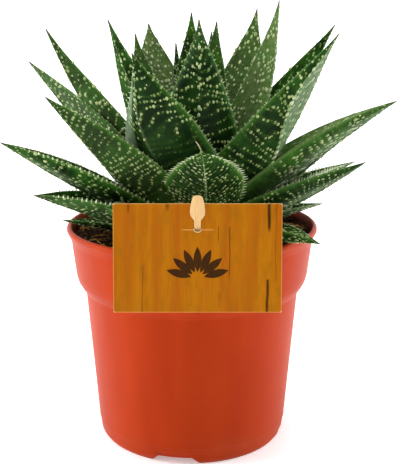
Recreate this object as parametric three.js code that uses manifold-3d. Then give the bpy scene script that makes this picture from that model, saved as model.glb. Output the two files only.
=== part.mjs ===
// A potted gasteria hybrid: a rosette of thick, keeled, toothed leaves on a short stem, in a
// plastic nursery pot full of soil, with a plain card tag held on a wooden stick.
// Millimetres, +Z up. The pot's axis is the Z axis and the pot stands on z = 0 until the last step,
// which centres the whole plant's box over the origin.

import * as THREE from "three";
import { mergeVertices } from "three/addons/utils/BufferGeometryUtils.js";
import Module from "manifold-3d";

const wasm = await Module();
wasm.setup();

// ---- Driving dimensions -------------------------------------------------------------------

const GAP = 0.3; // clearance between pieces that touch
const LEAF_GAP = 0.55; // clearance that a leaf keeps from the leaves and the soil round it

const POT_HEIGHT = 122;
const RIM_RADIUS = 70;
const FOOT_RADIUS = 51.2;
const POT_WALL = 1.7;
const LIP_HEIGHT = 5;
const BAND_FOOT = 91.5; // height at which the wide band under the rim ends
const SHOULDER = 84.5; // height at which the conical body starts below the band
const FLOOR_LOW = 4.5; // underside of the pot's floor, above the table
const FLOOR_HIGH = 6.5;
const POT_SIDES = 32;

const NOTCH_COUNT = 4; // air gaps under the foot ring
const NOTCH_HEIGHT = 4;
const NOTCH_FOOT_WIDTH = 24;
const NOTCH_TOP_WIDTH = 19;
const NOTCH_TURN = -100; // compass angle of the first notch, degrees from +X
const DRAIN_RADIUS = 4.5;
const DRAIN_CIRCLE = 34;

const SOIL_TOP = 110;
const SOIL_SIDES = 24;

const STEM_SIDES = 10;
const STEM_PROFILE = [ // radius, height
  [0, 84],
  [4, 86],
  [7, 96],
  [8.5, 110],
  [9, 118],
  [7, 132],
  [4, 143],
  [1.2, 150],
  [0, 151],
];

const CARD_WIDTH = 83;
const CARD_HEIGHT = 54;
const CARD_THICK = 0.6;
const CARD_LEAN = 8; // degrees: its top edge leans in towards the leaves
const CARD_TOP = 147.7;
const CARD_SHIFT = 2.8; // its middle stands this far right of the pot's axis
const SLOT_WIDTH = 4.4;
const SLOT_HEIGHT = 6.6;
const SLOT_BELOW_TOP = 10.4; // to its middle

const STICK_THICK = 1.2;
const STICK_WIDTH = 3.4;
const STICK_HEAD_WIDTH = 7.8;
const STICK_NECK = 2.4; // straight stretch between the slot and the head
const STICK_HEAD_HEIGHT = 16; // from the slot
const STICK_LENGTH = 58;
const STICK_LEAN = 14; // degrees: its head leans out over the card

// Each leaf's tip stands at a compass angle, a reach from the pot's axis and a height over the table.
// "from" is the height at which its base leaves the stem. "full" is how long the leaf stays broad.
// "bow" lifts the middle of the leaf above the straight line from base to tip, and "sway" moves it
// to the side. "turn" rolls the leaf about its own length, and "hook" lifts its tip.
const LEAF_COLUMNS = [
  "name", "angle", "reach", "top", "from", "wide", "thick", "full", "bow", "sway", "turn", "hook",
];
const LEAVES = [
  ["inner_leaf_1", 92, 6, 237, 140, 28, 6, 3.0, 0, 0, 0, 0],
  ["inner_leaf_2", 60, 22, 226, 138, 16, 4, 3.0, -1, 0, 20, 0],
  ["inner_leaf_3", 41, 18, 231, 136, 28, 6, 3.0, -2, 0, 30, 0],
  ["inner_leaf_4", 114, 22, 220, 134, 14, 4, 3.0, -2, 0, 0, 0],
  ["inner_leaf_5", -72, 12, 234, 131, 48, 10, 3.4, -5, 0, -20, 0],
  ["inner_leaf_6", 141, 41, 225, 128, 34, 8, 3.0, -5, 0, -20, 0],
  ["inner_leaf_7", 22, 52, 242, 126, 36, 8, 3.0, -7, 0, 15, 0],
  ["inner_leaf_8", 122, 47, 230, 124, 40, 8, 4.5, -5, 0, -10, 0],
  ["inner_leaf_9", 47, 55, 237, 122, 52, 8, 3.4, -6, 0, 0, 0],
  ["middle_leaf_1", 14, 82, 230, 122, 36, 9, 3.2, 0, 0, 25, 0],
  ["middle_leaf_2", -137, 57, 235, 121, 48, 12, 3.2, 2, 4, 22, 0],
  ["middle_leaf_3", -26, 82, 228, 120, 48, 11, 2.5, -1, 0, -24, 0],
  ["middle_leaf_4", -178, 78, 229, 119, 46, 10, 3.2, 0, 0, -12, 0],
  ["middle_leaf_5", 75, 72, 205, 119, 40, 9, 3.0, 0, 0, 0, 0],
  ["middle_leaf_6", 175, 90, 211, 118, 44, 10, 3.2, 2, 0, 0, 0],
  ["middle_leaf_7", 0, 112, 190, 118, 42, 16, 3.2, 7, 0, -8, 0],
  ["middle_leaf_8", 122, 76, 176, 117, 40, 9, 3.0, 0, 0, 0, 0],
  ["middle_leaf_9", -154, 83, 197, 117, 56, 12, 3.2, 3, 2, 26, 0],
  ["outer_leaf_1", 48, 88, 166, 116, 40, 9, 3.0, 2, 0, 0, 0],
  ["outer_leaf_2", 12, 96, 153, 116, 36, 8, 3.2, 2, 0, 0, 0],
  ["outer_leaf_3", -160, 105, 173, 116, 38, 11, 3.4, 5, 0, 5, 0],
  ["outer_leaf_4", -9, 95, 159, 115, 40, 10, 3.4, -1, 0, -16, 0],
  ["outer_leaf_5", -87, 75, 172, 115, 46, 12, 4.6, 9, 5, 0, 8],
  ["outer_leaf_6", 97, 92, 160, 115, 40, 9, 3.0, 3, 0, 0, 0],
  ["outer_leaf_7", 144, 84, 137, 114, 38, 9, 3.0, 2, 0, 0, 0],
  ["outer_leaf_8", -154, 91, 146, 114, 38, 11, 3.4, 3, 0, 35, 0],
  ["outer_leaf_9", 70, 88, 138, 113, 36, 8, 3.0, 3, 0, 0, 0],
  ["outer_leaf_10", -42, 87, 125, 113, 38, 10, 3.4, 9, 0, -10, 0],
  ["outer_leaf_11", 18, 81, 127, 113, 28, 7, 3.0, 4, 0, 0, 0],
  ["outer_leaf_12", 120, 84, 127, 113, 30, 7, 3.0, 4, 0, 0, 0],
  ["outer_leaf_13", -125, 62, 146, 113, 28, 8, 3.0, 3, 0, 0, 0],
  ["outer_leaf_14", -170, 72, 126, 113, 20, 6, 3.0, 3, 0, 0, 0],
];

const BASE_RADIUS = 3; // a leaf's middle line starts this far from the axis
const LEAF_TAPER = 1.8; // how finely a leaf draws out to its point
const LEAF_STRIPS = 6; // lengthwise strips of a leaf's skin
const SMOOTH_STRIPS = 2; // strips without teeth at the base
const NEEDLE = 0.03; // share of the length that the last point takes
const HOOK_SHARPNESS = 8; // a hooked leaf turns up only close to its tip
const DISH = 0.07; // hollow of the upper face, over half the leaf's width
const FLANK_WIDTH = 0.56; // shoulders of the underside, over half the width
const FLANK_DEPTH = 0.64; // and over the thickness

const TOOTH_SPACING = 8.5; // along a margin
const TOOTH_HEIGHT = 1.6;
const TOOTH_ROOT = 2.2; // length of a tooth's root along the margin
const TOOTH_LEAN = 0.8; // teeth point towards the leaf's tip
const TOOTH_SINK = 0.16; // share of the flank that a tooth's root takes
const TOOTH_OVER_WIDTH = 0.35; // teeth shrink where the leaf is narrow

// ---- Colours ------------------------------------------------------------------------------

const finish = (colour, roughness) =>
  new THREE.MeshStandardMaterial({ color: colour, roughness, metalness: 0 });
const terracottaPlastic = finish(0xd2512c, 0.45);
const darkSoil = finish(0x2a1c14, 1.0);
const leafGreen = finish(0x2f5a26, 0.42);
const stemGreen = finish(0x7d8f52, 0.6);
const brownCard = finish(0xb86a18, 0.6);
const paleWood = finish(0xe6c48e, 0.7);

// ---- Solids -------------------------------------------------------------------------------

const radians = THREE.MathUtils.degToRad;

// A closed geometry as a solid that can be cut and joined.
function toSolid(geometry) {
  const bare = geometry.clone();
  bare.deleteAttribute("normal");
  bare.deleteAttribute("uv");
  const merged = mergeVertices(bare, 1e-4);
  return new wasm.Manifold(
    new wasm.Mesh({
      numProp: 3,
      vertProperties: new Float32Array(merged.attributes.position.array),
      triVerts: new Uint32Array(merged.index.array),
    }),
  );
}

// The largest body of a solid, so that a scrap that a cut leaves behind is dropped.
function largestBody(solid) {
  const bodies = solid.decompose();
  return bodies.reduce((best, body) => (body.volume() > best.volume() ? body : best));
}

function toMesh(name, solid, material) {
  const cut = solid.getMesh();
  const geometry = new THREE.BufferGeometry();
  geometry.setAttribute("position", new THREE.BufferAttribute(cut.vertProperties, 3));
  geometry.setIndex(new THREE.BufferAttribute(cut.triVerts, 1));
  geometry.computeVertexNormals();
  const mesh = new THREE.Mesh(geometry, material);
  mesh.name = name;
  return mesh;
}

// A solid of revolution about Z from [radius, height] points that go round it counterclockwise,
// seen with the axis on the left.
function turned(points, sides) {
  const profile = points.map(([radius, height]) => new THREE.Vector2(radius, height));
  const geometry = new THREE.LatheGeometry(profile, sides);
  geometry.rotateX(Math.PI / 2);
  return toSolid(geometry);
}

// ---- Leaves -------------------------------------------------------------------------------

const leafPlan = LEAVES.map((row) =>
  Object.fromEntries(LEAF_COLUMNS.map((column, i) => [column, row[i]])),
);

// The curve of a leaf's middle line, and its sideways and upward directions, at a share t of its
// length. It returns a function that places a point of the leaf's cross-section.
function leafCurve(leaf) {
  const angle = radians(leaf.angle);
  const outward = new THREE.Vector3(Math.cos(angle), Math.sin(angle), 0);
  const across = new THREE.Vector3(-Math.sin(angle), Math.cos(angle), 0);
  const base = outward.clone().multiplyScalar(BASE_RADIUS).setZ(leaf.from);
  const tip = outward.clone().multiplyScalar(leaf.reach).setZ(leaf.top);
  const chord = tip.clone().sub(base);
  const length = chord.length();
  const above = chord.clone().normalize().cross(across);
  const bend = above.clone().multiplyScalar(leaf.bow).addScaledVector(across, leaf.sway);
  const roll = radians(leaf.turn);
  const side = across.clone().multiplyScalar(Math.cos(roll));
  side.addScaledVector(above, Math.sin(roll));

  const place = (t, x, y, forward = 0) => {
    const middle = base.clone().addScaledVector(chord, t);
    middle.addScaledVector(bend, 4 * t * (1 - t));
    middle.z += leaf.hook * t ** HOOK_SHARPNESS;
    const along = chord.clone().addScaledVector(bend, 4 * (1 - 2 * t)).normalize();
    const right = side.clone().addScaledVector(along, -side.dot(along)).normalize();
    const up = along.clone().cross(right);
    middle.addScaledVector(right, x).addScaledVector(up, y);
    return middle.addScaledVector(along, forward);
  };
  return { place, length };
}

// Half the leaf's width and its thickness at a share t of its length: a clasping base, a broad
// middle and a long taper that ends in a fine point.
function leafOutline(leaf, t) {
  const clasp = 0.72 + 0.28 * THREE.MathUtils.smoothstep(t, 0, 0.3);
  const swell = 0.6 + 0.4 * THREE.MathUtils.smoothstep(t, 0, 0.3);
  const taper = 1 - t ** leaf.full;
  return {
    half: (leaf.wide / 2) * clasp * taper ** LEAF_TAPER,
    depth: leaf.thick * swell * taper ** 1.1,
  };
}

const leafShares = Array.from(
  { length: LEAF_STRIPS + 1 },
  (_, i) => ((1 - NEEDLE) * i) / LEAF_STRIPS,
);

// The leaf's cross-sections from base to tip, each as six points that run counterclockwise seen from
// the tip: the hollow face, left margin, left flank, keel, right flank and right margin. They can be
// grown all round by a clearance, and further at the margins.
function leafSections(leaf, place, clear = 0, proud = 0) {
  return leafShares.map((t) => {
    const { half, depth } = leafOutline(leaf, t);
    const lift = DISH * half;
    const flank = FLANK_WIDTH * half + clear;
    const under = -FLANK_DEPTH * depth - clear;
    return [
      place(t, 0, clear - lift),
      place(t, -half - proud, lift + clear),
      place(t, -flank, under),
      place(t, 0, -depth - clear),
      place(t, flank, under),
      place(t, half + proud, lift + clear),
    ];
  });
}

// Two triangles between neighbouring points of one section and the next.
function addQuad(faces, ring, next, j) {
  const k = (j + 1) % ring.length;
  faces.push(ring[j], ring[k], next[k], ring[j], next[k], next[j]);
}

// Closes a skin with a fan over its first section and a point past its last.
function addEnds(faces, first, last, apex) {
  for (let j = 1; j < first.length - 1; j++) faces.push(first[0], first[j + 1], first[j]);
  last.forEach((point, j) => faces.push(point, last[(j + 1) % last.length], apex));
}

// Triangles between a line of points along a margin and the straight inner edge beside it.
function addFan(add, line, innerStart, innerEnd) {
  const middle = Math.floor(line.length / 2);
  for (let i = 0; i < line.length - 1; i++) {
    add(i < middle ? innerStart : innerEnd, line[i], line[i + 1]);
  }
  add(innerStart, line[middle], innerEnd);
}

// The skin along one margin, from one section to the next. Its teeth are three-sided spikes, each
// with two roots on the margin and a third on the flank.
function addToothedMargin(faces, ring, next, right, teeth, height) {
  const [margin, flank] = right ? [5, 4] : [1, 2];
  const [start, end] = [ring[margin], next[margin]];
  const add = (a, b, c) => (right ? faces.push(a, c, b) : faces.push(a, b, c));
  const addBelow = (a, b, c) => add(a, c, b);
  const along = end.clone().sub(start);
  const length = along.length();
  along.normalize();
  const out = start.clone().sub(ring[0]).add(start.clone().sub(ring[flank]));
  out.addScaledVector(along, -out.dot(along)).normalize();
  const above = [start];
  const below = [start];
  for (let i = 0; i < teeth; i++) {
    const share = (i + 0.5) / teeth;
    const middle = start.clone().addScaledVector(along, length * share);
    const near = middle.clone().addScaledVector(along, -TOOTH_ROOT / 2);
    const far = middle.clone().addScaledVector(along, TOOTH_ROOT / 2);
    const tip = middle.clone().addScaledVector(out, height).addScaledVector(along, TOOTH_LEAN);
    const root = middle.clone().lerp(ring[flank].clone().lerp(next[flank], share), TOOTH_SINK);
    above.push(near, far);
    below.push(near, root, far);
    add(near, tip, far);
    add(near, root, tip);
    add(root, far, tip);
  }
  above.push(end);
  below.push(end);
  addFan(add, above, ring[0], next[0]);
  addFan(addBelow, below, ring[flank], next[flank]);
}

function leafSolid(leaf) {
  const { place, length } = leafCurve(leaf);
  const rings = leafSections(leaf, place);
  const faces = [];
  for (let i = 0; i < LEAF_STRIPS; i++) {
    const [ring, next] = [rings[i], rings[i + 1]];
    const teeth = i < SMOOTH_STRIPS ? 0 : Math.round(length / LEAF_STRIPS / TOOTH_SPACING);
    const height = TOOTH_OVER_WIDTH * leafOutline(leaf, leafShares[i]).half;
    addQuad(faces, ring, next, 2);
    addQuad(faces, ring, next, 3);
    addToothedMargin(faces, ring, next, false, teeth, Math.min(TOOTH_HEIGHT, height));
    addToothedMargin(faces, ring, next, true, teeth, Math.min(TOOTH_HEIGHT, height));
  }
  addEnds(faces, rings[0], rings[LEAF_STRIPS], place(1, 0, 0));
  return toSolid(new THREE.BufferGeometry().setFromPoints(faces));
}

// The room that a leaf and its teeth take up, with the clearance: what lies further out is cut by it.
function leafRoom(leaf) {
  const { place } = leafCurve(leaf);
  const rings = leafSections(leaf, place, LEAF_GAP, TOOTH_HEIGHT + LEAF_GAP);
  const faces = [];
  for (let i = 0; i < LEAF_STRIPS; i++) {
    for (let j = 0; j < rings[0].length; j++) addQuad(faces, rings[i], rings[i + 1], j);
  }
  addEnds(faces, rings[0], rings[LEAF_STRIPS], place(1, 0, 0, LEAF_GAP));
  return toSolid(new THREE.BufferGeometry().setFromPoints(faces));
}

// ---- Stem ---------------------------------------------------------------------------------

const stem = turned(STEM_PROFILE, STEM_SIDES);
const stemRoom = turned(
  STEM_PROFILE.map(([radius, height], i) => {
    const last = STEM_PROFILE.length - 1;
    if (i === 0) return [0, height - GAP];
    if (i === last) return [0, height + GAP];
    return [radius + 1.1 * GAP, height];
  }),
  STEM_SIDES,
);

// ---- Pot ----------------------------------------------------------------------------------

const outerWall = [ // radius, height
  [FOOT_RADIUS, 0],
  [FOOT_RADIUS + 1.6, 2.2],
  [FOOT_RADIUS + 2.5, 9],
  [59.9, SHOULDER],
  [60.4, 86],
  [62.1, 87.8],
  [64.2, BAND_FOOT],
  [65.1, 95],
  [67.6, POT_HEIGHT - LIP_HEIGHT - 0.8],
  [69.2, POT_HEIGHT - LIP_HEIGHT + 0.6],
  [RIM_RADIUS, POT_HEIGHT - 2],
  [69.4, POT_HEIGHT - 0.5],
  [68.7, POT_HEIGHT],
];
const innerWall = [
  [67.6, POT_HEIGHT],
  [67.0, POT_HEIGHT - 1.2],
  [65.4, POT_HEIGHT - 8],
  [65.1 - POT_WALL, 95],
  [62.4, BAND_FOOT],
  [59.9 - POT_WALL, SHOULDER],
  [FOOT_RADIUS + 2.5 - POT_WALL, 9],
  [FOOT_RADIUS - 0.6, FLOOR_HIGH],
];
const potFloor = [
  [0, FLOOR_HIGH],
  [0, FLOOR_LOW],
  [FOOT_RADIUS - 2.4, FLOOR_LOW],
  [FOOT_RADIUS - 2, 0],
];

function potSolid() {
  let pot = turned([...outerWall, ...innerWall, ...potFloor, outerWall[0]], POT_SIDES);
  const notch = new THREE.Shape([
    new THREE.Vector2(-NOTCH_FOOT_WIDTH / 2, -1),
    new THREE.Vector2(NOTCH_FOOT_WIDTH / 2, -1),
    new THREE.Vector2(NOTCH_TOP_WIDTH / 2, NOTCH_HEIGHT),
    new THREE.Vector2(-NOTCH_TOP_WIDTH / 2, NOTCH_HEIGHT),
  ]);
  for (let i = 0; i < NOTCH_COUNT; i++) {
    const turn = radians(NOTCH_TURN + (360 / NOTCH_COUNT) * i);
    const cutter = new THREE.ExtrudeGeometry(notch, { depth: 20, bevelEnabled: false });
    cutter.rotateX(Math.PI / 2);
    cutter.translate(0, FOOT_RADIUS + 8, 0);
    cutter.rotateZ(turn - Math.PI / 2);
    pot = pot.subtract(toSolid(cutter));
    const drain = new THREE.CylinderGeometry(DRAIN_RADIUS, DRAIN_RADIUS, 10, 12);
    drain.rotateX(Math.PI / 2);
    drain.translate(0, DRAIN_CIRCLE, FLOOR_LOW);
    drain.rotateZ(turn - Math.PI / 2);
    pot = pot.subtract(toSolid(drain));
  }
  return pot;
}

// ---- Soil ---------------------------------------------------------------------------------

// Low mounds of peat: a sum of a few waves over the surface.
const soilRipple = (x, y) =>
  0.9 * Math.sin(0.23 * x + 1.3) * Math.cos(0.19 * y) + 0.5 * Math.sin(0.41 * y - 0.27 * x);

function soilSolid() {
  const top = [58, 40, 20, 0];
  const points = [
    [0, FLOOR_HIGH + GAP],
    [FOOT_RADIUS - 1.1, FLOOR_HIGH + GAP],
    [FOOT_RADIUS + 2.5 - POT_WALL - 1.5 * GAP, 10],
    [59.9 - POT_WALL - 1.5 * GAP, SHOULDER],
    [62.4 - 2 * GAP, BAND_FOOT + GAP],
    [65.1 - POT_WALL - 1.5 * GAP, 95.5],
    [64.7 - GAP, SOIL_TOP - 1],
    ...top.map((radius) => [radius, SOIL_TOP]),
  ];
  const profile = points.map(([radius, height]) => new THREE.Vector2(radius, height));
  const geometry = new THREE.LatheGeometry(profile, SOIL_SIDES);
  geometry.rotateX(Math.PI / 2);
  const at = geometry.attributes.position;
  for (let i = 0; i < at.count; i++) {
    if (at.getZ(i) < SOIL_TOP - 0.5) continue;
    at.setZ(i, SOIL_TOP + soilRipple(at.getX(i), at.getY(i)));
  }
  return toSolid(geometry);
}

// ---- Tag and stick ------------------------------------------------------------------------

// The tag stands in front of the rim. This group's origin is the middle of the tag's top edge.
const tagPlace = new THREE.Matrix4().compose(
  new THREE.Vector3(CARD_SHIFT, -RIM_RADIUS + 3.7, CARD_TOP),
  new THREE.Quaternion().setFromEuler(new THREE.Euler(radians(-CARD_LEAN), 0, 0)),
  new THREE.Vector3(1, 1, 1),
);

function cardSolid() {
  const outline = new THREE.Shape();
  outline.moveTo(-CARD_WIDTH / 2, -CARD_HEIGHT);
  outline.lineTo(CARD_WIDTH / 2, -CARD_HEIGHT);
  outline.lineTo(CARD_WIDTH / 2, 0);
  outline.lineTo(-CARD_WIDTH / 2, 0);
  outline.closePath();
  const slot = new THREE.Path();
  const [left, right] = [-SLOT_WIDTH / 2, SLOT_WIDTH / 2];
  const [low, high] = [-SLOT_BELOW_TOP - SLOT_HEIGHT / 2, -SLOT_BELOW_TOP + SLOT_HEIGHT / 2];
  slot.moveTo(left, low);
  slot.lineTo(left, high);
  slot.lineTo(right, high);
  slot.lineTo(right, low);
  slot.closePath();
  outline.holes.push(slot);
  const geometry = new THREE.ExtrudeGeometry(outline, { depth: CARD_THICK, bevelEnabled: false });
  geometry.rotateX(Math.PI / 2);
  geometry.applyMatrix4(tagPlace);
  return toSolid(geometry);
}

// A flat stick with a paddle-shaped head, pushed through the tag's slot and into the soil.
function stickSolid() {
  const half = STICK_WIDTH / 2;
  const bulge = STICK_HEAD_WIDTH / 1.7;
  const shoulder = STICK_HEAD_HEIGHT - 1;
  const foot = STICK_HEAD_HEIGHT - STICK_LENGTH;
  const point = foot + 8;
  const outline = new THREE.Shape();
  outline.moveTo(-half, STICK_NECK);
  outline.bezierCurveTo(-bulge, STICK_NECK + 3, -bulge, STICK_HEAD_HEIGHT - 5, -half, shoulder);
  outline.bezierCurveTo(-1, STICK_HEAD_HEIGHT, 1, STICK_HEAD_HEIGHT, half, shoulder);
  outline.bezierCurveTo(bulge, STICK_HEAD_HEIGHT - 5, bulge, STICK_NECK + 3, half, STICK_NECK);
  outline.lineTo(half, point);
  outline.lineTo(0, foot);
  outline.lineTo(-half, point);
  outline.closePath();
  const geometry = new THREE.ExtrudeGeometry(outline, {
    depth: STICK_THICK,
    bevelEnabled: false,
    curveSegments: 5,
  });
  geometry.translate(0, 0, -STICK_THICK / 2);
  geometry.rotateX(Math.PI / 2 + radians(STICK_LEAN));
  const slotMiddle = new THREE.Vector3(0, -CARD_THICK / 2, -SLOT_BELOW_TOP).applyMatrix4(tagPlace);
  geometry.translate(slotMiddle.x, slotMiddle.y, slotMiddle.z);
  return toSolid(geometry);
}

// ---- Assembly -----------------------------------------------------------------------------

const plant = new THREE.Group();

// The youngest leaf comes first. Each older leaf makes room for the stem and the younger leaves.
const rooms = [stemRoom];
for (const leaf of leafPlan) {
  const free = rooms.reduce((solid, room) => solid.subtract(room), leafSolid(leaf));
  plant.add(toMesh(leaf.name, largestBody(free), leafGreen));
  rooms.push(leafRoom(leaf));
}
plant.add(toMesh("stem", stem, stemGreen));

const pot = new THREE.Group();
pot.add(toMesh("pot", potSolid(), terracottaPlastic));

const stick = stickSolid();
pot.add(toMesh("tag_stick", stick, paleWood));
pot.add(toMesh("tag_card", cardSolid(), brownCard));
const soil = rooms.reduce((solid, room) => solid.subtract(room), soilSolid());
pot.add(toMesh("soil", largestBody(soil.subtract(stick)), darkSoil));

const whole = new THREE.Group();
whole.add(pot, plant);
const bounds = new THREE.Box3().setFromObject(whole, true);
const middle = bounds.getCenter(new THREE.Vector3());
whole.position.set(-middle.x, -middle.y, -bounds.min.z);

const potted = new THREE.Group();
potted.add(whole);

export default potted;
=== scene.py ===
# %% [markdown]
# # A gasteria in its nursery pot
# The construction of this plant is ready: every leaf, the soil, the pot and the tag have their place
# and size in the frame. This script gives each of them its real surface. It loads the frame first,
# because the places below are worked out from it.

# %% Load the frame
from math import cos, pi, radians, sin, sqrt

import bmesh
import bpy
import numpy as np
from mathutils import Matrix, Vector


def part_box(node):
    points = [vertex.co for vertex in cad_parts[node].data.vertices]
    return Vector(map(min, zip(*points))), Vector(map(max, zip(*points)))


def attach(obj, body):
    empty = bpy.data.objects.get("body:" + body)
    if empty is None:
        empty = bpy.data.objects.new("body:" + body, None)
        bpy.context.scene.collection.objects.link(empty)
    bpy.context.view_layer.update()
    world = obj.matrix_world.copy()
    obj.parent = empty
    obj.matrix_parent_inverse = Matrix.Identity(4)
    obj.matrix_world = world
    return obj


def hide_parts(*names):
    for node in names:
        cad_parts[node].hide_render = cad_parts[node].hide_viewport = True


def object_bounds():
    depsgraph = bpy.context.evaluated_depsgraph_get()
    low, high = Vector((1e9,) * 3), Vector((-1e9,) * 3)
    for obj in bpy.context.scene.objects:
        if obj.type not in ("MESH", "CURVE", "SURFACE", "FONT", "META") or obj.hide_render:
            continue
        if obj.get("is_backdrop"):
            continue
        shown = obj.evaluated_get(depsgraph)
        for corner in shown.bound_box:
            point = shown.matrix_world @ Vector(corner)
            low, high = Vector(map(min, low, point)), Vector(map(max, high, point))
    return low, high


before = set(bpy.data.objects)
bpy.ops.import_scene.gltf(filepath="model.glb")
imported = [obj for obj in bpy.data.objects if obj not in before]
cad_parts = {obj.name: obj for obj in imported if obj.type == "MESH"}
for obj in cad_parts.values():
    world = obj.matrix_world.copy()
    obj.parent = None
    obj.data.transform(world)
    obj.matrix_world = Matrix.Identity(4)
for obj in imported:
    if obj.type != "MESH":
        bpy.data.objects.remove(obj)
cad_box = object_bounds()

MM = 0.001
pot_low, pot_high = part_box("pot")
AXIS = Vector(((pot_low.x + pot_high.x) / 2, (pot_low.y + pot_high.y) / 2, 0.0))
RIM_RADIUS = (pot_high.x - pot_low.x) / 2 / MM
POT_HEIGHT = pot_high.z / MM
print(f"{len(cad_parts)} nodes, pot {2 * RIM_RADIUS:.1f} mm wide and {POT_HEIGHT:.1f} mm high")

# %% [markdown]
# ## Helpers for meshes
# Most pieces here follow a rule, such as a section that changes along a line or a profile that turns
# round the pot's axis. Such a mesh is quickest to write as an array of points and a list of faces.
# Sizes are in millimetres from the pot's axis, and one helper turns them into metres in the frame.
# Another stores values on the mesh, which materials and node trees then read by name.

# %% New pieces
def new_piece(name, points, faces, materials=(), smooth=True, edges=()):
    """An object at the origin whose points are given in millimetres from the pot's axis."""
    mesh = bpy.data.meshes.new(name)
    placed = np.asarray(points, float) * MM + np.array(AXIS)
    mesh.from_pydata(placed.tolist(), edges, faces)
    mesh.polygons.foreach_set("use_smooth", [smooth] * len(mesh.polygons))
    for material in materials:
        mesh.materials.append(material)
    mesh.update()
    piece = bpy.data.objects.new(name, mesh)
    bpy.context.scene.collection.objects.link(piece)
    return piece


def keep_values(mesh, name, values, domain="POINT"):
    """Stores a number or a vector for each point or face."""
    values = np.asarray(values, np.float32)
    kind, field = ("FLOAT", "value") if values.ndim == 1 else ("FLOAT_VECTOR", "vector")
    mesh.attributes.new(name, kind, domain).data.foreach_set(field, values.ravel())


# %% [markdown]
# A modifier stays live: it works again whenever something changes. A finished piece is a plain mesh,
# so what the modifiers show is copied once and they are cleared. Faces that are listed one by one may
# point either way, so another helper turns them outwards.

# %% Plain meshes
def settle(piece):
    """Turns a piece with modifiers into a plain mesh."""
    shown = piece.evaluated_get(bpy.context.evaluated_depsgraph_get())
    mesh = bpy.data.meshes.new_from_object(shown)
    piece.modifiers.clear()
    piece.data = mesh
    mesh.name = piece.name
    return piece


def face_outwards(piece):
    grown = bmesh.new()
    grown.from_mesh(piece.data)
    bmesh.ops.recalc_face_normals(grown, faces=grown.faces)
    grown.to_mesh(piece.data)
    grown.free()


def triangles(piece):
    return sum(len(face.vertices) - 2 for face in piece.data.polygons)


# %% [markdown]
# Two rules come back in many shapes. A smooth step eases a value in from 0 to 1, as a leaf swells from
# its base. A rounded corner is what a mould or a stamp leaves, and it can't take more than half of
# either side, or it would run into the next corner.

# %% Smooth steps and round corners
SIDE_PER_CORNER = 2.1


def smoothstep(value, low, high):
    x = np.clip((value - low) / (high - low), 0, 1)
    return x * x * (3 - 2 * x)


def rounded(points, radius, steps=5):
    """A line of 2-D points with its inner corners rounded off."""
    line = [np.array(point, float) for point in points]
    result = [line[0]]
    for before, corner, after in zip(line, line[1:], line[2:]):
        back, ahead = before - corner, after - corner
        before_length, after_length = np.hypot(*back), np.hypot(*ahead)
        reach = min(radius, before_length / SIDE_PER_CORNER, after_length / SIDE_PER_CORNER)
        start = corner + back / before_length * reach
        end = corner + ahead / after_length * reach
        for step in range(steps + 1):
            t = step / steps
            result.append(start * (1 - t) ** 2 + corner * 2 * t * (1 - t) + end * t * t)
    result.append(line[-1])
    return result


# %% [markdown]
# ## A small language for node trees
# Materials and Geometry Nodes are both trees of nodes joined by wires. Written out node by node they
# fill pages. Here a wire is an object with Python's own operators, so `1 - mask * 0.5` adds the Math
# nodes it needs, and one method adds any other node with its settings and sockets.

# %% The wire class
class Wire:
    """An output of a node. An expression with wires and numbers adds Math nodes to the tree."""

    def __init__(self, tree, socket=None):
        self.tree = tree
        self.socket = socket

    def node(self, kind, settings=(), sockets=(), output=0):
        """Adds a node of a type, with its settings and the values or wires of its sockets."""
        made = self.tree.nodes.new(kind)
        for name, value in dict(settings).items():
            setattr(made, name, value)
        for key, value in dict(sockets).items():
            for each in value if isinstance(value, list) else [value]:
                if isinstance(each, Wire):
                    self.tree.links.new(each.socket, made.inputs[key])
                else:
                    made.inputs[key].default_value = each
        return Wire(self.tree, made.outputs[output] if made.outputs else None)

    def beside(self, output):
        """Another output of the same node."""
        return Wire(self.tree, self.socket.node.outputs[output])

    def math(self, operation, *terms):
        return self.node("ShaderNodeMath", {"operation": operation}, dict(enumerate(terms)))

    def put_through(self, operation):
        """This wire's own value through a Math node of one term, such as its root or its cosine."""
        return self.math(operation, self)

    def __add__(self, other):
        return self.math("ADD", self, other)

    def __radd__(self, other):
        return self.math("ADD", other, self)

    def __sub__(self, other):
        return self.math("SUBTRACT", self, other)

    def __rsub__(self, other):
        return self.math("SUBTRACT", other, self)

    def __mul__(self, other):
        return self.math("MULTIPLY", self, other)

    def __rmul__(self, other):
        return self.math("MULTIPLY", other, self)

    def __truediv__(self, other):
        return self.math("DIVIDE", self, other)

    def __rtruediv__(self, other):
        return self.math("DIVIDE", other, self)

    def __abs__(self):
        return self.put_through("ABSOLUTE")

    def __neg__(self):
        return self.math("MULTIPLY", self, -1.0)


# %% [markdown]
# A handful of nodes turn up in nearly every tree: a soft threshold, the larger and the smaller of two
# values, a vector from three numbers, and clouds of noise. Stretching the place before the noise is
# read draws its clouds out into grain or streaks.

# %% Everyday nodes
def rise(value, low, high):
    """0 below low, 1 above high and smooth between them."""
    settings = {"interpolation_type": "SMOOTHSTEP"}
    return value.node("ShaderNodeMapRange", settings, {0: value, 1: low, 2: high})


def largest(a, b):
    return a.math("MAXIMUM", a, b)


def smallest(a, b):
    return a.math("MINIMUM", a, b)


def vector(x, y, z):
    source = next(each for each in (x, y, z) if isinstance(each, Wire))
    return source.node("ShaderNodeCombineXYZ", (), {0: x, 1: y, 2: z})


def part_of(wire, axis):
    """The X, Y or Z of a vector. The other two lie beside it."""
    return wire.node("ShaderNodeSeparateXYZ", (), {0: wire}, axis)


def stretched(place, x, y, z):
    """A place with each of its axes scaled."""
    settings = {"operation": "MULTIPLY"}
    return place.node("ShaderNodeVectorMath", settings, {0: place, 1: (x, y, z)})


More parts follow.
